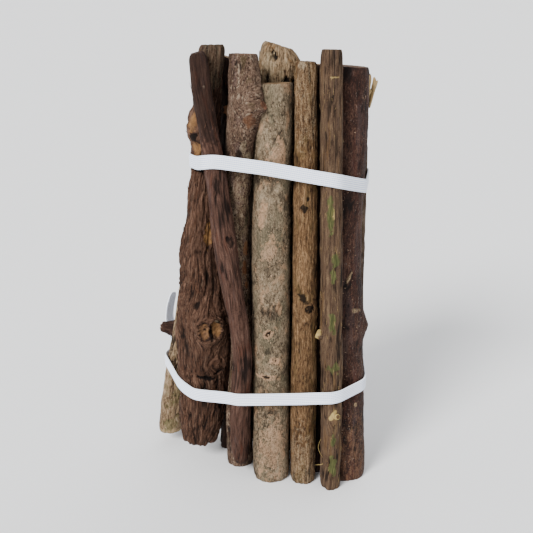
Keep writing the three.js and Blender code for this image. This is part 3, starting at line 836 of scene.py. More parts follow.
greyPatched = dict(
    node="grey_patched_twig", slot="grey_bark", seed=505, worn=(0.8, 1.2), mesh=(0.6, 0.66),
    layers=[
        bark(lumps, 8, 10, 0.4, 41),
        bark(lumps, 2.2, 3, 0.14, 42),
        bark(furrows, 2.4, 6, 0.16, 43, wander=0.5, start=0.6),
        bark(fibres, 0.7, 1.4, 0.12, 44),
    ],
    marks=[
        pit(79.5, 262, 0.9, 1.8, 0.7, lean=35, ragged=0.5),
        patch(79.5, 262, 2.2, 3.0, "pale", ragged=0.6, lean=35),
        pit(79.5, 262, 0.8, 1.5, 0.3, lean=35, ragged=0.5),
        boss(62, 272, 4, 3.5, 0.5, flow=0.3),
        patch(57.5, 262, 5.5, 1.8, "pale", ragged=0.8, high=0.2),
        patch(66, 282, 2.4, 1.5, "pale", ragged=0.8, high=0.2),
        pit(57.5, 256, 1.9, 0.7, 0.4, ragged=0.8),
        pit(66, 284, 0.7, 0.5, 0.4),
        patch(160, 285, 4.5, 9, "pale", ragged=0.9, strength=0.85),
        patch(134, 238, 1.8, 6, "pale", ragged=0.9, strength=0.7),
        patch(118, 264, 4.5, 5, "pale", ragged=1.1, strength=0.6),
        patch(20, 275, 8, 17, "pale", ragged=1.1, strength=0.55),
        boss(24, 280, 3.5, 3, 0.4),
    ],
    look=dict(
        ground=((76, 65, 51), (135, 118, 97), (174, 156, 131)), streak=1.3, stretch=1.8, contrast=2.2,
        fineStretch=2, fineness=2.0, gritty=1.2, cloud=12, broad=1.6,
        blotches=[
            blotch((106, 102, 82), 9, 2, 0.48, 0.52, soft=0.16),
            blotch((196, 158, 124), 4.2, 1.6, 0.52, 0.66, soft=0.17),
            blotch((56, 45, 34), 1.0, 1.6, 0.61, 0.78),
            blotch((202, 182, 156), 0.8, 2.0, 0.64, 0.65),
        ],
        creviceShade=0.6, paleColour=(206, 168, 136), wood=((150, 112, 82), (196, 158, 124)), end=freshEnd,
    ),
)

weathered = dict(
    node="weathered_twig", slot="weathered_wood", seed=606, worn=(3.0, 2.6), nick=1.4, mesh=(0.64, 0.72),
    layers=[
        bark(lumps, 5, 9, 0.8, 51),
        bark(furrows, 1.5, 12, 0.85, 53, wander=0.4, start=0.3),
        bark(fibres, 0.7, 5, 0.35, 54),
    ],
    marks=[
        boss(200, 330, 9, 7, 2.2),
        boss(196, 190, 9, 14, 1.2),
        patch(196, 240, 3, 9, "pale", ragged=1.0, high=0.4, strength=0.6),
        patch(192, 275, 2.2, 5, "pale", ragged=1.0, strength=0.5),
        pit(201, 256, 1.2, 3.0, 1.0, ragged=0.6, lean=-25),
        pit(192, 236, 0.8, 3.0, 1.0, ragged=0.6),
        pit(190, 287, 1.6, 3.4, 1.2, ragged=0.5),
        pit(188, 315, 1.8, 4.5, 1.2, ragged=0.5),
        pit(187, 262, 1.0, 2.4, 0.8, ragged=0.6),
    ],
    look=dict(
        ground=((78, 60, 44), (158, 132, 102), (206, 182, 150)), streak=1.1, stretch=6, contrast=2.4,
        blotches=[
            blotch((190, 172, 144), 1.4, 6, 0.63, 0.6),
            blotch((46, 32, 23), 1.3, 4, 0.6, 0.85),
            blotch((140, 102, 60), 4, 1.5, 0.55, 0.6, soft=0.1),
        ],
        lines=dict(size=1.6, stretch=8, width=0.035, strength=0.8), paleColour=(186, 168, 138),
        creviceShade=0.85, wood=((150, 114, 72), (196, 164, 118)),
        end=((150, 116, 76), (104, 76, 50), (86, 62, 42)),
    ),
)

tanRidged = dict(
    node="tan_ridged_twig", slot="ridged_bark", seed=707, worn=(0.7, 0.8),
    layers=[
        bark(lumps, 5, 14, 0.3, 61),
        bark(furrows, 0.95, 13, 0.28, 62, wander=0.1, start=0.3),
        bark(fibres, 0.6, 6, 0.16, 63),
    ],
    marks=[
        boss(93, 285, 3.6, 5.5, 0.8),
        pit(92, 292, 2.3, 2.3, 0.8, ragged=0.5, flow=1),
        boss(92.5, 292, 1.1, 1.2, 0.9),
        patch(92.5, 292, 0.9, 1.0, "wood", strength=0.8),
        pit(98, 254, 1.2, 3.6, 0.4, ragged=1.1, lean=-30, strength=0.6),
        pit(95.5, 270, 2.6, 0.9, 0.5, ragged=0.9, lean=25, strength=0.7),
        pit(139, 262, 1.4, 1.8, 0.4, ragged=1.1, strength=0.65),
        pit(143, 280, 0.6, 1.2, 0.4, ragged=0.6),
        patch(199.5, 240, 2.4, 1.8, "pale", ragged=0.7, strength=0.7),
        patch(186, 270, 12, 24, "pale", ragged=0.9, strength=0.28),
        patch(8, 270, 12, 24, "pale", ragged=0.9, strength=0.32),
    ],
    look=dict(
        ground=((72, 51, 34), (120, 92, 64), (164, 133, 100)), streak=0.75, stretch=8, contrast=2.1,
        fineStretch=4, fineness=1.8,
        blotches=[
            blotch((60, 41, 28), 0.8, 3.5, 0.61, 0.75),
            blotch((172, 144, 108), 1.6, 4, 0.6, 0.5, soft=0.08),
            blotch((108, 90, 54), 6, 3, 0.54, 0.45, soft=0.1),
        ],
        lines=dict(size=1.5, stretch=14, width=0.028, strength=0.55), creviceShade=0.7,
        wood=((120, 84, 50), (172, 132, 88)), end=freshEnd, paleColour=(196, 178, 150),
    ),
)

greenStreaked = dict(
    node="green_streaked_twig", slot="streaked_bark", seed=808, worn=(0.7, 1.4),
    layers=[
        bark(lumps, 4.5, 12, 0.35, 71),
        bark(furrows, 1.3, 24, 0.32, 72, wander=0.1, start=0.35),
        bark(fibres, 0.6, 8, 0.16, 73),
    ],
    marks=[
        patch(136, 262, 1.8, 8, "moss", ragged=0.7),
        patch(137, 276, 0.7, 3.5, "wood", ragged=0.6, strength=0.8),
        patch(116, 290, 2.0, 3.6, "moss", ragged=0.8),
        patch(109, 276, 1.2, 4.0, "moss", ragged=0.8),
        patch(86, 272, 1.5, 6.0, "moss", ragged=0.8),
        patch(64, 285, 3.4, 2.8, "moss", ragged=1.0, strength=0.8),
        patch(27, 278, 1.2, 3.0, "moss", ragged=0.8),
        patch(14, 282, 2.2, 5.5, "moss", ragged=0.8),
        patch(40.5, 274, 1.2, 3.2, "wood", ragged=0.4, lean=30),
        patch(195, 285, 2.0, 0.5, "wood", ragged=0.8, strength=0.6),
        boss(80, 207, 2.6, 5, 0.8, flow=0.5),
        boss(38, 283, 2.6, 3.5, 0.7, flow=0.5),
    ],
    stubs=[
        dict(z=78, turn=195, reach=7.6, radius=2.2, rise=0.35, face=0.8, bare=0.93, slant=-0.5),
        dict(z=38, turn=296, reach=6.6, radius=1.35, rise=0.35, face=1, bare=0.8, soft=0.9),
    ],
    straws=[
        dict(through=[(27.5, -26.6, 9.7), (30.4, -30.8, 12.4), (33, -34.2, 16.4)], radius=0.17),
        dict(
            through=[
                (30.2, -30, 27),
                (28.4, -31, 22.5),
                (29.2, -31.2, 19.5),
                (31, -31.6, 16.5),
            ],
            radius=0.1,
        ),
    ],
    look=dict(
        ground=((66, 49, 39), (104, 83, 66), (138, 115, 91)), streak=0.7, stretch=18, contrast=1.6,
        fineStretch=9, broad=0.9,
        blotches=[
            blotch((150, 128, 96), 0.9, 11, 0.61, 0.45),
            blotch((96, 80, 72), 3.5, 8, 0.55, 0.5, soft=0.1),
            blotch((122, 92, 58), 2.4, 9, 0.57, 0.5, soft=0.08),
        ],
        lines=dict(size=1.2, stretch=24, width=0.022, strength=0.45), mossColour=(82, 88, 52),
        wood=((180, 152, 92), (216, 192, 134)), end=freshEnd,
    ),
)

redBrown = dict(
    node="red_brown_twig", slot="red_brown_bark", seed=909, worn=(0.5, 1.0), level=40, mesh=(0.68, 0.75),
    layers=[
        bark(lumps, 9, 14, 0.4, 81),
        bark(lumps, 1.8, 1.6, 0.12, 82),
        bark(fibres, 0.8, 3.0, 0.14, 83),
        bark(furrows, 2.4, 12, 0.2, 84, start=0.6),
    ],
    marks=[
        boss(78, 355, 3.6, 4.6, 1.7, flow=0.6),
        patch(104.5, 286, 0.7, 3.2, "pale", high=0.4, lean=26, ragged=0.3),
        patch(14, 285, 16, 26, "wood", ragged=0.7, strength=0.24),
        patch(41, 300, 0.7, 1.2, "pale", high=0.2),
        patch(88, 300, 3.0, 0.8, "pale", ragged=1.2, strength=0.6),
    ],
    look=dict(
        ground=((40, 21, 15), (71, 45, 35), (112, 82, 68)), streak=1.5, stretch=4, contrast=2.1,
        fineStretch=2.5, gritty=1.4,
        blotches=[
            blotch((84, 44, 36), 3.5, 7, 0.54, 0.45, soft=0.1),
            blotch((98, 80, 70), 6, 3, 0.56, 0.4, soft=0.12),
            blotch((128, 110, 100), 0.65, 3.0, 0.645, 0.7),
            blotch((92, 76, 74), 4, 9, 0.52, 0.4, soft=0.1),
        ],
        roughness=0.7, specular=0.16, paleColour=(196, 172, 136), wood=((150, 110, 78), (190, 150, 112)),
        end=((128, 98, 76), (94, 68, 52), (72, 50, 38)),
    ),
)

backLook = dict(
    ground=((56, 42, 33), (98, 78, 63), (136, 116, 98)), streak=1.8, stretch=5, contrast=1.6,
    blotches=[
        blotch((148, 132, 116), 3, 2, 0.6, 0.6),
        blotch((92, 88, 58), 5, 2.4, 0.57, 0.45, soft=0.1),
    ],
    wood=((150, 112, 74), (196, 160, 118)), end=freshEnd,
)
darkLook = dict(
    ground=((30, 19, 15), (58, 41, 34), (88, 66, 55)), streak=1.4, stretch=8, contrast=1.7,
    blotches=[blotch((112, 72, 44), 2.2, 3, 0.64, 0.6)], wood=((140, 92, 62), (182, 134, 98)),
    end=((186, 160, 130), (150, 118, 90), (104, 74, 54)),
)


def plainBark(seed, deep=0.45):  # the relief of a twig at the back
    return [
        bark(lumps, 6, 11, deep, seed),
        bark(furrows, 2.3, 14, deep, seed + 1, wander=0.25, start=0.4),
        bark(fibres, 1.0, 6, 0.45 * deep, seed + 2),
    ]


backMesh = (0.75, 0.85)
tornBack = dict(
    node="torn_back_twig", slot="brown_bark", seed=111, mesh=backMesh, layers=plainBark(91),
    marks=[patch(186, 350, 5, 8, "wood", ragged=0.6)],
    stubs=[
        dict(z=177.5, turn=352, reach=10.2, radius=1.9, rise=1.2, torn=0.7, bare=0.3, face=1, slant=0.8),
    ],
    straws=[
        dict(
            through=[
                (51.0, 3.4, 177.5),
                (51.9, 3.4, 184),
                (53.0, 3.3, 189),
                (52.6, 3.4, 191.4),
            ],
            radius=1.05,
        ),
        dict(through=[(51.2, 2.6, 180), (52.4, 2.6, 185.5), (54.2, 2.6, 190)], radius=0.8),
    ],
    look=dict(backLook, wood=((186, 154, 108), (222, 198, 154))),
)
thinDark = dict(
    node="thin_dark_twig", slot="dark_bark", seed=121, mesh=(0.6, 0.8), layers=plainBark(94, 0.3),
    look=dict(darkLook, barkDepth=0.5),
)
stubbedBack = dict(
    node="stubbed_back_twig", slot="dark_bark", seed=131, mesh=backMesh, layers=plainBark(97),
    marks=[boss(58, 197, 5, 7, 1.0, flow=0.5)],
    stubs=[
        dict(z=58, turn=197, reach=16.5, radius=2.7, rise=0.28, face=0.6, slant=-0.5, torn=0.5, flare=3.4),
    ],
    look=dict(
        darkLook, ground=((42, 28, 24), (80, 58, 50), (114, 90, 78)), wood=((130, 78, 52), (176, 120, 88)),
    ),
)
darkBack = dict(
    node="dark_back_twig", slot="dark_bark", seed=141, mesh=backMesh, layers=plainBark(101),
    marks=[patch(178, 270, 2.5, 3, "wood", ragged=0.8)], look=darkLook,
)
backRight = dict(
    node="back_right_twig", slot="brown_bark", seed=151, mesh=backMesh, layers=plainBark(104),
    look=backLook,
)
backMiddle = dict(
    node="back_middle_twig", slot="brown_bark", seed=161, mesh=backMesh, layers=plainBark(107, 0.6),
    marks=[scar(118, 80, 3, 4, 0.9, flow=0.6)],
    look=dict(backLook, ground=((76, 60, 44), (128, 106, 82), (166, 146, 120))),
)
backLeft = dict(
    node="back_left_twig", slot="brown_bark", seed=171, mesh=backMesh, layers=plainBark(110, 0.6),
    marks=[
        boss(84, 100, 5, 7, 1.2, flow=0.6),
        patch(120, 95, 4, 14, "moss", ragged=0.9, strength=0.5),
    ],
    look=dict(backLook, ground=((58, 46, 38), (106, 92, 78), (146, 132, 114))),
)
backCorner = dict(
    node="back_corner_twig", slot="brown_bark", seed=181, mesh=backMesh, layers=plainBark(113),
    marks=[scar(70, 60, 2.4, 3, 0.8, flow=0.6)],
    look=dict(backLook, ground=((52, 38, 26), (94, 76, 56), (132, 112, 86))),
)

twigs = {
    "paleLeftTwig": paleLeft, "gnarledTwig": gnarled, "leaningFibrousTwig": leaning, "mottledTwig": mottled,
    "greyPatchedTwig": greyPatched, "weatheredTwig": weathered, "tanRidgedTwig": tanRidged,
    "greenStreakedTwig": greenStreaked, "redBrownTwig": redBrown, "tornBackTwig": tornBack,
    "thinDarkTwig": thinDark, "stubbedBackTwig": stubbedBack, "darkBackTwig": darkBack,
    "backRightTwig": backRight, "backMiddleTwig": backMiddle, "backLeftTwig": backLeft,
    "backCornerTwig": backCorner,
}
skins, made = [], {}
for name, twig in twigs.items():
    made[name], points = twigOf(name, twig, barkMaterial(name + "Bark", twig["look"]))
    skins.append(points)
    print("grew", name, len(made[name].data.polygons), "faces")


# Small growths that repeat over the bark

def speckTree():  # small scales that lie on a skin
    sizes = ("Density", "Wide", "Tall", "Thick", "Lift", "Tilt", "Taper")
    kinds = {"Skin": "Geometry", **{name: "Float" for name in sizes}, "Seed": "Int", "Finish": "Material"}
    tree, make, given = newTree("barkSpecks", kinds, "Dressed")
    growth = make.wire("GeometryNodeInputNamedAttribute", {"data_type": "FLOAT"}, {"Name": "growth"})
    place = make.wire("GeometryNodeInputPosition")
    clump = make.cloud(place, 90.0, 2)
    share = make.step(clump, 0.36, 0.62) * growth
    scattered = make.node("GeometryNodeDistributePointsOnFaces", {"distribute_method": "RANDOM"},
                          {"Mesh": given["Skin"], "Density": given["Density"] * share, "Seed": given["Seed"]})
    points, normal = Wire(make, scattered.outputs["Points"]), Wire(make, scattered.outputs["Normal"])
    turn = make.wire("FunctionNodeAlignRotationToVector", {"axis": "Z"}, {"Vector": normal})
    turn = make.wire("FunctionNodeAlignRotationToVector", {"axis": "Y", "pivot_axis": "Z"},
                     {"Rotation": turn, "Vector": (0, 0, 1)})
    lean = make.wire("FunctionNodeRandomValue", {"data_type": "FLOAT_VECTOR"},
                     {0: (-0.35, -0.35, -0.35), 1: (0.35, 0.35, 0.35), "Seed": given["Seed"]})
    lean = make.vector("ADD", make.vector("MULTIPLY", lean, (0.4, 0.4, 1)),
                       make.wire("ShaderNodeCombineXYZ", {}, {0: given["Tilt"]}))
    turn = make.wire("FunctionNodeRotateRotation", {"rotation_space": "LOCAL"},
                     {"Rotation": turn, "Rotate By": lean})
    ball = make.wire("GeometryNodeMeshUVSphere", {}, {"Segments": 6, "Rings": 4, "Radius": 0.5})
    where = make.node("ShaderNodeSeparateXYZ", {}, {0: make.wire("GeometryNodeInputPosition")})
    x, y, z = (Wire(make, where.outputs[index]) for index in range(3))
    thin = 1 - given["Taper"] * make.maths("ABSOLUTE", y + 0.35, clamp=True)
    spot = make.wire("ShaderNodeCombineXYZ", {}, {
        0: x * thin * given["Wide"], 1: y * given["Tall"], 2: z * given["Thick"] + given["Lift"]})
    scale = make.wire("GeometryNodeSetPosition", {}, {"Geometry": ball, "Position": spot})
    big = make.wire("FunctionNodeRandomValue", {"data_type": "FLOAT"},
                    {2: 0.45, 3: 1.35, "Seed": given["Seed"]}, 1)
    placed = make.wire("GeometryNodeInstanceOnPoints", {},
                       {"Points": points, "Instance": scale, "Rotation": turn, "Scale": big})
    whole = make.wire("GeometryNodeRealizeInstances", {}, {"Geometry": placed})
    smoothed = make.wire("GeometryNodeSetShadeSmooth", {}, {"Geometry": whole})
    finished = make.wire("GeometryNodeSetMaterial", {}, {"Geometry": smoothed, "Material": given["Finish"]})
    both = make.node("GeometryNodeJoinGeometry")
    tree.links.new(finished.socket, both.inputs[0])
    tree.links.new(given["Skin"].socket, both.inputs[0])
    out = make.node("NodeGroupOutput")
    tree.links.new(both.outputs[0], out.inputs["Dressed"])
    return tree


def plainMesh(thing, tree, inputs):  # the result of a tree on an object, as a mesh with no modifier
    modifier = thing.modifiers.new("grow", "NODES")
    modifier.node_group = tree
    for item in tree.interface.items_tree:
        if item.in_out == "INPUT" and item.name in inputs:
            modifier[item.identifier] = inputs[item.name]
    bpy.context.view_layer.update()
    seen = thing.evaluated_get(bpy.context.evaluated_depsgraph_get())
    mesh = bpy.data.meshes.new_from_object(seen, depsgraph=bpy.context.evaluated_depsgraph_get())
    thing.modifiers.remove(modifier)
    return mesh


def speckMaterial(name, first, last):
    material, make = newMaterial(name)
    place = make.wire("ShaderNodeTexCoord", output="Object")
    patchy = make.cloud(place, 700.0, 3, Roughness=0.7)
    depth = plainLook["depth"]
    colour = make.mix(tint(*first, depth), tint(*last, depth), make.step(patchy, 0.35, 0.65))
    make.shade(colour, 0.85, make.bumped(0.4, 0.3, patchy), plainLook["specular"])
    return material


# count: for each square centimetre. Sizes are in mm, tilt in degrees. taper: how pointed the upper end is.
def speck(name, colours, count, wide, tall, thick, lift=0.0, tilt=0, taper=0.0):
    perSquareMetre = 10000.0
    return name, colours, {
        "Density": count * perSquareMetre, "Wide": wide * mm, "Tall": tall * mm, "Thick": thick * mm,
        "Lift": lift * mm, "Tilt": math.radians(tilt), "Taper": taper}


specks = {
    "redBrownTwig": [
        speck("lenticels", ((112, 88, 72), (168, 142, 120)), 9, 0.8, 0.4, 0.22),
        speck("paleScratches", ((104, 86, 78), (150, 134, 124)), 16, 0.22, 1.2, 0.14),
    ],
    "gnarledTwig": [
        speck("barkFlakes", ((62, 42, 33), (104, 78, 62)), 5, 0.9, 3.2, 0.3, lift=0.15, tilt=9, taper=0.7),
    ],
    "leaningFibrousTwig": [
        speck("looseFibres", ((72, 48, 39), (126, 94, 78)), 6, 0.28, 4.6, 0.16, lift=0.1, tilt=4, taper=0.8),
    ],
    "mottledTwig": [speck("paleScales", ((112, 94, 78), (160, 142, 122)), 8, 0.7, 0.9, 0.16)],
    "greyPatchedTwig": [speck("crustScales", ((120, 104, 82), (196, 168, 140)), 9, 0.6, 0.8, 0.15)],
    "weatheredTwig": [
        speck("peelingStrips", ((112, 90, 64), (196, 178, 148)), 10, 0.7, 3.6, 0.25,
              lift=0.1, tilt=5, taper=0.7),
    ],
    "tanRidgedTwig": [
        speck("tanFibres", ((104, 74, 47), (170, 138, 100)), 8, 0.24, 2.8, 0.15,
              lift=0.05, tilt=3, taper=0.8),
    ],
    "greenStreakedTwig": [speck("tanStreaks", ((120, 96, 66), (178, 152, 108)), 7, 0.2, 3.4, 0.14)],
    "paleLeftTwig": [speck("paleCrust", ((124, 104, 78), (182, 160, 130)), 7, 0.8, 1.2, 0.18)],
}
firstSeed = 40
speckMaker = speckTree()
for name, kinds in specks.items():
    for index, (kind, colours, sizes) in enumerate(kinds):
        finish = speckMaterial(kind, *colours)
        inputs = {**sizes, "Seed": firstSeed + index, "Finish": finish}
        made[name].data = plainMesh(made[name], speckMaker, inputs)
    print("dressed", name, len(made[name].data.polygons), "faces")


# The elastics

elastic = {"width": 6, "thickness": 0.9, "ribs": 7, "ribHeight": 0.34, "step": 1.0, "clearance": 0.12,
           "stitch": 0.9, "knot": 6.4, "knotFullness": 0.4, "knotOut": 2.2}
bundleShift = np.array([4.01, -17.02])  # the places below are given from the middle of the front twigs


def elasticMaterial():
    material, make = newMaterial("whiteElastic")
    place = make.wire("ShaderNodeTexCoord", output="Object")
    weave = make.cloud(make.vector("MULTIPLY", place, (900, 900, 2600)), 1.0, 2)
    clouded = make.cloud(place, 120.0, 3)
    # Painted shade: the grooves between the ribs are painted blue-grey, more and less deeply along the woven
    # stitches, whose rhythm is the elastic's own.
    stitch = make.maths("SINE", make.painted("run") * (2 * math.pi / (elastic["stitch"] * mm))) * 0.5 + 0.5
    groove = make.painted("groove") * (0.42 + 0.26 * stitch)
    colour = make.mix(tint(248, 252, 255, 1.15), tint(116, 134, 196), groove)
    colour = make.mix(colour, tint(220, 228, 252), make.clamped((weave - 0.45) * 1.2))
    colour = make.mix(colour, tint(208, 212, 228), make.step(clouded, 0.55, 0.75) * 0.3)
    make.shade(colour, 0.62, make.bumped(0.35, 0.12, weave), 0.3)
    return material


def ribbonTree():  # sweeps a flat ribbed section along a path
    sizes = ("Width", "Thickness", "Ribs", "Rib Height", "Step")
    kinds = {"Path": "Geometry", **{name: "Float" for name in sizes}, "Finish": "Material"}
    tree, make, given = newTree("ribbedRibbon", kinds, "Ribbon")

    def named(name, kind):
        return make.wire("GeometryNodeInputNamedAttribute", {"data_type": kind}, {"Name": name})

    def stored(geometry, name, value):
        return make.wire("GeometryNodeStoreNamedAttribute", {"data_type": "FLOAT", "domain": "POINT"},
                         {"Geometry": geometry, "Name": name, "Value": value})

    curve = make.wire("GeometryNodeMeshToCurve", {}, {"Mesh": given["Path"]})
    fullness = named("fullness", "FLOAT")
    curve = make.wire("GeometryNodeSetCurveRadius", {}, {"Curve": curve, "Radius": fullness})
    curve = make.wire("GeometryNodeResampleCurve", {"mode": "LENGTH"},
                      {"Curve": curve, "Length": given["Step"]})
    facing = named("facing", "FLOAT_VECTOR")
    curve = make.wire("GeometryNodeSetCurveNormal", {"mode": "FREE"}, {"Curve": curve, "Normal": facing})
    curve = stored(curve, "run", make.wire("GeometryNodeSplineParameter", output="Length"))
    section = make.wire("GeometryNodeCurvePrimitiveQuadrilateral", {"mode": "RECTANGLE"},
                        {"Width": given["Thickness"], "Height": given["Width"]})
    section = make.wire("GeometryNodeFilletCurve", {"mode": "POLY"},
                        {"Curve": section, "Radius": given["Thickness"] * 0.42, "Count": 3})
    section = make.wire("GeometryNodeResampleCurve", {"mode": "COUNT"}, {"Curve": section, "Count": 84})
    split = make.node("ShaderNodeSeparateXYZ", {}, {0: make.wire("GeometryNodeInputPosition")})
    x, y = Wire(make, split.outputs[0]), Wire(make, split.outputs[1])
    wave = make.maths("COSINE", y / given["Width"] * given["Ribs"] * (2 * math.pi)) * 0.5 + 0.5
    sunk = x * (1 - given["Rib Height"] / given["Thickness"] * wave)
    spot = make.wire("ShaderNodeCombineXYZ", {}, {0: sunk, 1: y, 2: 0.0})
    section = make.wire("GeometryNodeSetPosition", {}, {"Geometry": section, "Position": spot})
    groove = stored(section, "groove", wave)
    radius = make.wire("GeometryNodeInputRadius")
    swept = make.wire("GeometryNodeCurveToMesh", {},
                      {"Curve": curve, "Profile Curve": groove, "Scale": radius, "Fill Caps": True})
    smoothed = make.wire("GeometryNodeSetShadeSmooth", {}, {"Geometry": swept})
    whole = make.wire("GeometryNodeRealizeInstances", {}, {"Geometry": smoothed})
    finished = make.wire("GeometryNodeSetMaterial", {}, {"Geometry": whole, "Material": given["Finish"]})
    out = make.node("NodeGroupOutput")
    tree.links.new(finished.socket, out.inputs["Ribbon"])
    return tree


def pathObject(name, points, closed, fullness, facing):  # facing: the way that the flat side faces
    ends = {"mode": "wrap"} if closed else {"mode": "reflect", "reflect_type": "odd"}
    padded = np.pad(points, ((1, 1), (0, 0)), **ends)
    way = padded[2:] - padded[:-2]
    way /= np.linalg.norm(way, axis=1)[:, None]
    facing = facing - (facing * way).sum(axis=1)[:, None] * way
    facing /= np.linalg.norm(facing, axis=1)[:, None]
    edges = [(i, i + 1) for i in range(len(points) - 1)] + ([(len(points) - 1, 0)] if closed else [])
    mesh = bpy.data.meshes.new(name)
    mesh.from_pydata([tuple(point * mm) for point in points], edges, [])
    full = mesh.attributes.new("fullness", "FLOAT", "POINT")
    full.data.foreach_set("value", np.broadcast_to(fullness, len(points)).astype(np.float32))
    faced = mesh.attributes.new("facing", "FLOAT_VECTOR", "POINT")
    faced.data.foreach_set("vector", facing.astype(np.float32).ravel())
    return placed(name, mesh)


def hull(points):  # the smallest loop round some points, anticlockwise
    points = points[np.lexsort((points[:, 1], points[:, 0]))]

    def chain(line):
        kept = []
        for p in line:
            while len(kept) > 1 and np.cross(kept[-1] - kept[-2], p - kept[-1]) <= 0:
                kept.pop()
            kept.append(p)
        return kept[:-1]
    return np.array(chain(points) + chain(points[::-1]))


def bandLoop(known, middle):  # the elastic's middle line, as points round the twigs
    turns, heights = np.array([*known, (known[0][0] + 360, known[0][1])], float).T

    def heightAt(spots):
        turn = np.degrees(np.arctan2(spots[:, 1] - middle[1], spots[:, 0] - middle[0]))
        turn = np.where(turn < turns[0], turn + 360, turn)
        after = np.clip(np.searchsorted(turns, turn), 1, len(turns) - 1)
        share = (turn - turns[after - 1]) / (turns[after] - turns[after - 1])
        return heights[after - 1] + (heights[after] - heights[after - 1]) * share

    behind = []
    for points in skins:
        near = np.abs(points[:, 2] - heightAt(points[:, :2])) < elastic["width"] / 2
        behind.append(points[near][:, :2])
    loop = hull(np.concatenate(behind))
    out = elastic["thickness"] / 2 + elastic["clearance"]
    closed = np.vstack([loop, loop[:1]])
    pushed = []
    for first, last in zip(closed[:-1], closed[1:]):
        edge = last - first
        away = np.array([edge[1], -edge[0]]) / max(1e-6, np.linalg.norm(edge)) * out
        pushed += [first + away, last + away]
    loop = hull(np.array(pushed))
    # Evenly spaced points, with the corners eased a little.
    closed = np.vstack([loop, loop[:1]])
    run = np.concatenate([[0], np.cumsum(np.linalg.norm(np.diff(closed, axis=0), axis=1))])
    even = np.arange(0, run[-1], 0.8)
    spots = np.stack([np.interp(even, run, closed[:, axis]) for axis in (0, 1)], axis=1)
    rows = np.column_stack([spots, heightAt(spots)])
    for turn in range(14):  # eases each bend over a few millimetres
        rows[:, 2] = (np.roll(rows[:, 2], 1) + 2 * rows[:, 2] + np.roll(rows[:, 2], -1)) / 4
    for turn in range(3):
        rows[:, :2] = (np.roll(rows[:, :2], 1, 0) + 2 * rows[:, :2] + np.roll(rows[:, :2], -1, 0)) / 4
    return rows


# heights: the height of the elastic at some directions from its middle. A loose end: how far it gets
# across, back and up from the knot, how far it bows to the side, and the ways that its flat side faces at
# the knot and at its end.
bandLooks = {
    "lowerElasticBand": {
        "node": "lower_elastic_band", "middle": (-3, 14), "knot": (-48, 47),
        "heights": [(-160, 41.9), (-151, 42.9), (-137, 44.5), (-121, 46), (-108, 46.5), (-86, 47.2),
                    (-58, 48.5), (-44, 49.8), (-12, 50.4), (15, 50.8), (90, 50), (142, 49.5), (162, 48),
                    (191, 45)],
        "tails": [(-1.3, 0.4, 29, 1.8, 316, 324), (-1.5, 3, -19, 0.8, 170, 205)],
    },
    "upperElasticBand": {
        "node": "upper_elastic_band", "middle": (3, 12), "knot": (8, 42),
        "heights": [(-150, 157.6), (-134, 160.2), (-117, 158.6), (-98, 157.3), (-77, 155.5), (-60, 153.7),
                    (-48, 152.2), (-11, 144.8), (30, 147.4), (90, 155), (150, 158), (191, 157)],
        "tails": [(8, 3, 15, 0.8, 90, 70), (-7, 3, -17, 0.8, 90, 115)],
    },
}


def knotPath(size):  # a tight overhand knot, about size mm across
    t = np.linspace(0, 2 * math.pi, 72, endpoint=False)
    x = np.sin(t) + 2 * np.sin(2 * t)
    y = -np.sin(3 * t)
    z = np.cos(t) - 2 * np.cos(2 * t)
    return np.stack([x * size / 6, y * size / 5, z * size / 6.5], axis=1)


def joinMeshes(name, meshes, material):
    pieces = Pieces()
    for mesh in meshes:
        co = np.zeros(len(mesh.vertices) * 3)
        mesh.vertices.foreach_get("co", co)
        quads = [list(face.vertices) for face in mesh.polygons if len(face.vertices) == 4]
        corners = []
        for face in mesh.polygons:
            ring = list(face.vertices)
            if len(ring) != 4:
                corners += [[ring[0], ring[i], ring[i + 1]] for i in range(1, len(ring) - 1)]
        kept = {}
        for paint in ("groove", "run"):
            kept[paint] = np.zeros(len(mesh.vertices), np.float32)
            mesh.attributes[paint].data.foreach_get("value", kept[paint])
        pieces.add(co.reshape(-1, 3) / mm, quads, corners, kept)
    return pieces.mesh(name, material)


def bandOf(name, band, tree, material):
    middle, tied = (np.array(band[key]) + bundleShift for key in ("middle", "knot"))
    loop = bandLoop(band["heights"], middle)
    sizes = {"Width": elastic["width"] * mm, "Thickness": elastic["thickness"] * mm,
             "Ribs": float(elastic["ribs"]), "Rib Height": elastic["ribHeight"] * mm,
             "Step": elastic["step"] * mm, "Finish": material}
    along = np.roll(loop, -1, axis=0) - np.roll(loop, 1, axis=0)
    outwards = np.stack([along[:, 1], -along[:, 0], 0 * along[:, 2]], axis=1)
    paths = [pathObject(name + "Path", loop, True, 1.0, outwards)]
    at = np.argmin(np.hypot(*(loop[:, :2] - tied).T))
    away = outwards[at] / np.linalg.norm(outwards[at])
    side = np.array([-away[1], away[0], 0])
    up = np.array([0, 0, 1])
    knot = knotPath(elastic["knot"])
    centre = loop[at] + away * elastic["knotOut"]
    spots = centre + knot[:, :1] * side + knot[:, 1:2] * away + knot[:, 2:] * up
    paths.append(pathObject(name + "Knot", spots, True, elastic["knotFullness"], spots - centre + 0.3 * away))
    for x, y, rise, curl, first, last in band["tails"]:
        share = np.linspace(0, 1, 40)[:, None]
        bow = np.sin(share * math.pi) * curl
        tail = centre + share ** 2 * np.array([x, y, 0]) + share * np.array([0, 0, rise])
        tail = tail + bow * (side + 1.7 * away)
        full = np.interp(share[:, 0], [0, 0.12, 0.8, 0.96, 1], [0.5, 0.92, 0.92, 0.8, 0.5])
        turn = np.radians(first + (last - first) * share[:, 0])
        facing = np.stack([np.cos(turn), np.sin(turn), 0 * turn], axis=1)
        paths.append(pathObject(name + "Tail", tail, False, full, facing))
    meshes = [plainMesh(path, tree, sizes) for path in paths]
    thing = joinMeshes(name, meshes, material)
    for path in paths:
        bpy.data.objects.remove(path)
    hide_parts(band["node"])
    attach(thing, "root")
    return thing


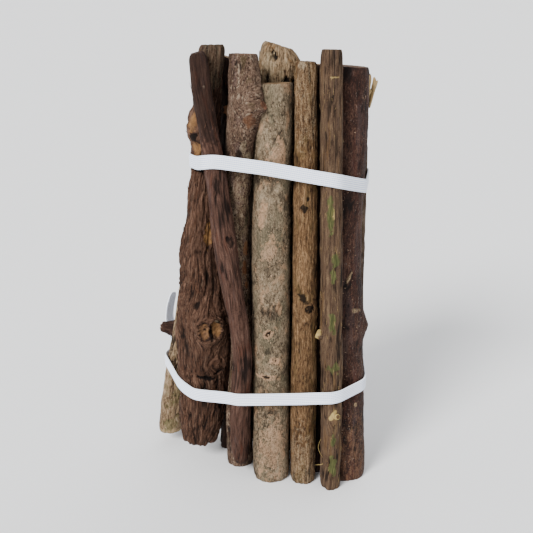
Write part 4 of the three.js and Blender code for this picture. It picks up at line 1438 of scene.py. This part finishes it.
ribbon, white = ribbonTree(), elasticMaterial()
for name, band in bandLooks.items():
    thing = bandOf(name, band, ribbon, white)
    print("tied", name, len(thing.data.polygons), "faces")


# Floor, light and camera

studio = {
    "camera": (4.01, -396.35, 234.92), "tilt": 71.5, "lens": 58.76, "sensor": 36,
    "key": {"from": (-0.7, -1, 0.85), "spread": 22, "power": 5.1},
    "fill": {"from": (0.5, -1, 1.2), "spread": 60, "power": 0.3},
    "back": {"from": (0.3, 1, 0.9), "spread": 60, "power": 0.9},
    "world": (0.95, 0.97, 1.0), "worldStrength": 0.85,
}


def lamp(name, spec):  # a far, broad light, so that the floor is lit evenly
    light = bpy.data.lights.new(name, "SUN")
    light.energy, light.angle = spec["power"], math.radians(spec["spread"])
    placed(name, light).rotation_euler = Vector(spec["from"]).to_track_quat("Z", "Y").to_euler()


def setStage():
    half = 20.0  # so wide that its edge stays out of view
    mesh = bpy.data.meshes.new("floor")
    corners = [(-half, -half, 0), (half, -half, 0), (half, half, 0), (-half, half, 0)]
    mesh.from_pydata(corners, [], [(0, 1, 2, 3)])
    material = bpy.data.materials.new("paleFloor")
    material.use_nodes = True
    shader = material.node_tree.nodes["Principled BSDF"]
    shader.inputs["Base Color"].default_value = (0.86, 0.86, 0.86, 1)
    shader.inputs["Roughness"].default_value = 0.9
    mesh.materials.append(material)
    floor = placed("floor", mesh)
    world = bpy.data.worlds.new("paleWorld")
    world.use_nodes = True
    sky = world.node_tree.nodes["Background"].inputs
    sky["Color"].default_value = (*studio["world"], 1)
    sky["Strength"].default_value = studio["worldStrength"]
    bpy.context.scene.world = world
    for name in ("key", "fill", "back"):
        lamp(name, studio[name])
    camera = bpy.data.cameras.new("camera")
    camera.lens, camera.sensor_width = studio["lens"], studio["sensor"]
    camera.clip_start = 10 * mm
    holder = placed("camera", camera)
    holder.location = Vector(studio["camera"]) * mm
    holder.rotation_euler = (math.radians(studio["tilt"]), 0, 0)
    bpy.context.scene.camera = holder


setStage()
print("stage set")
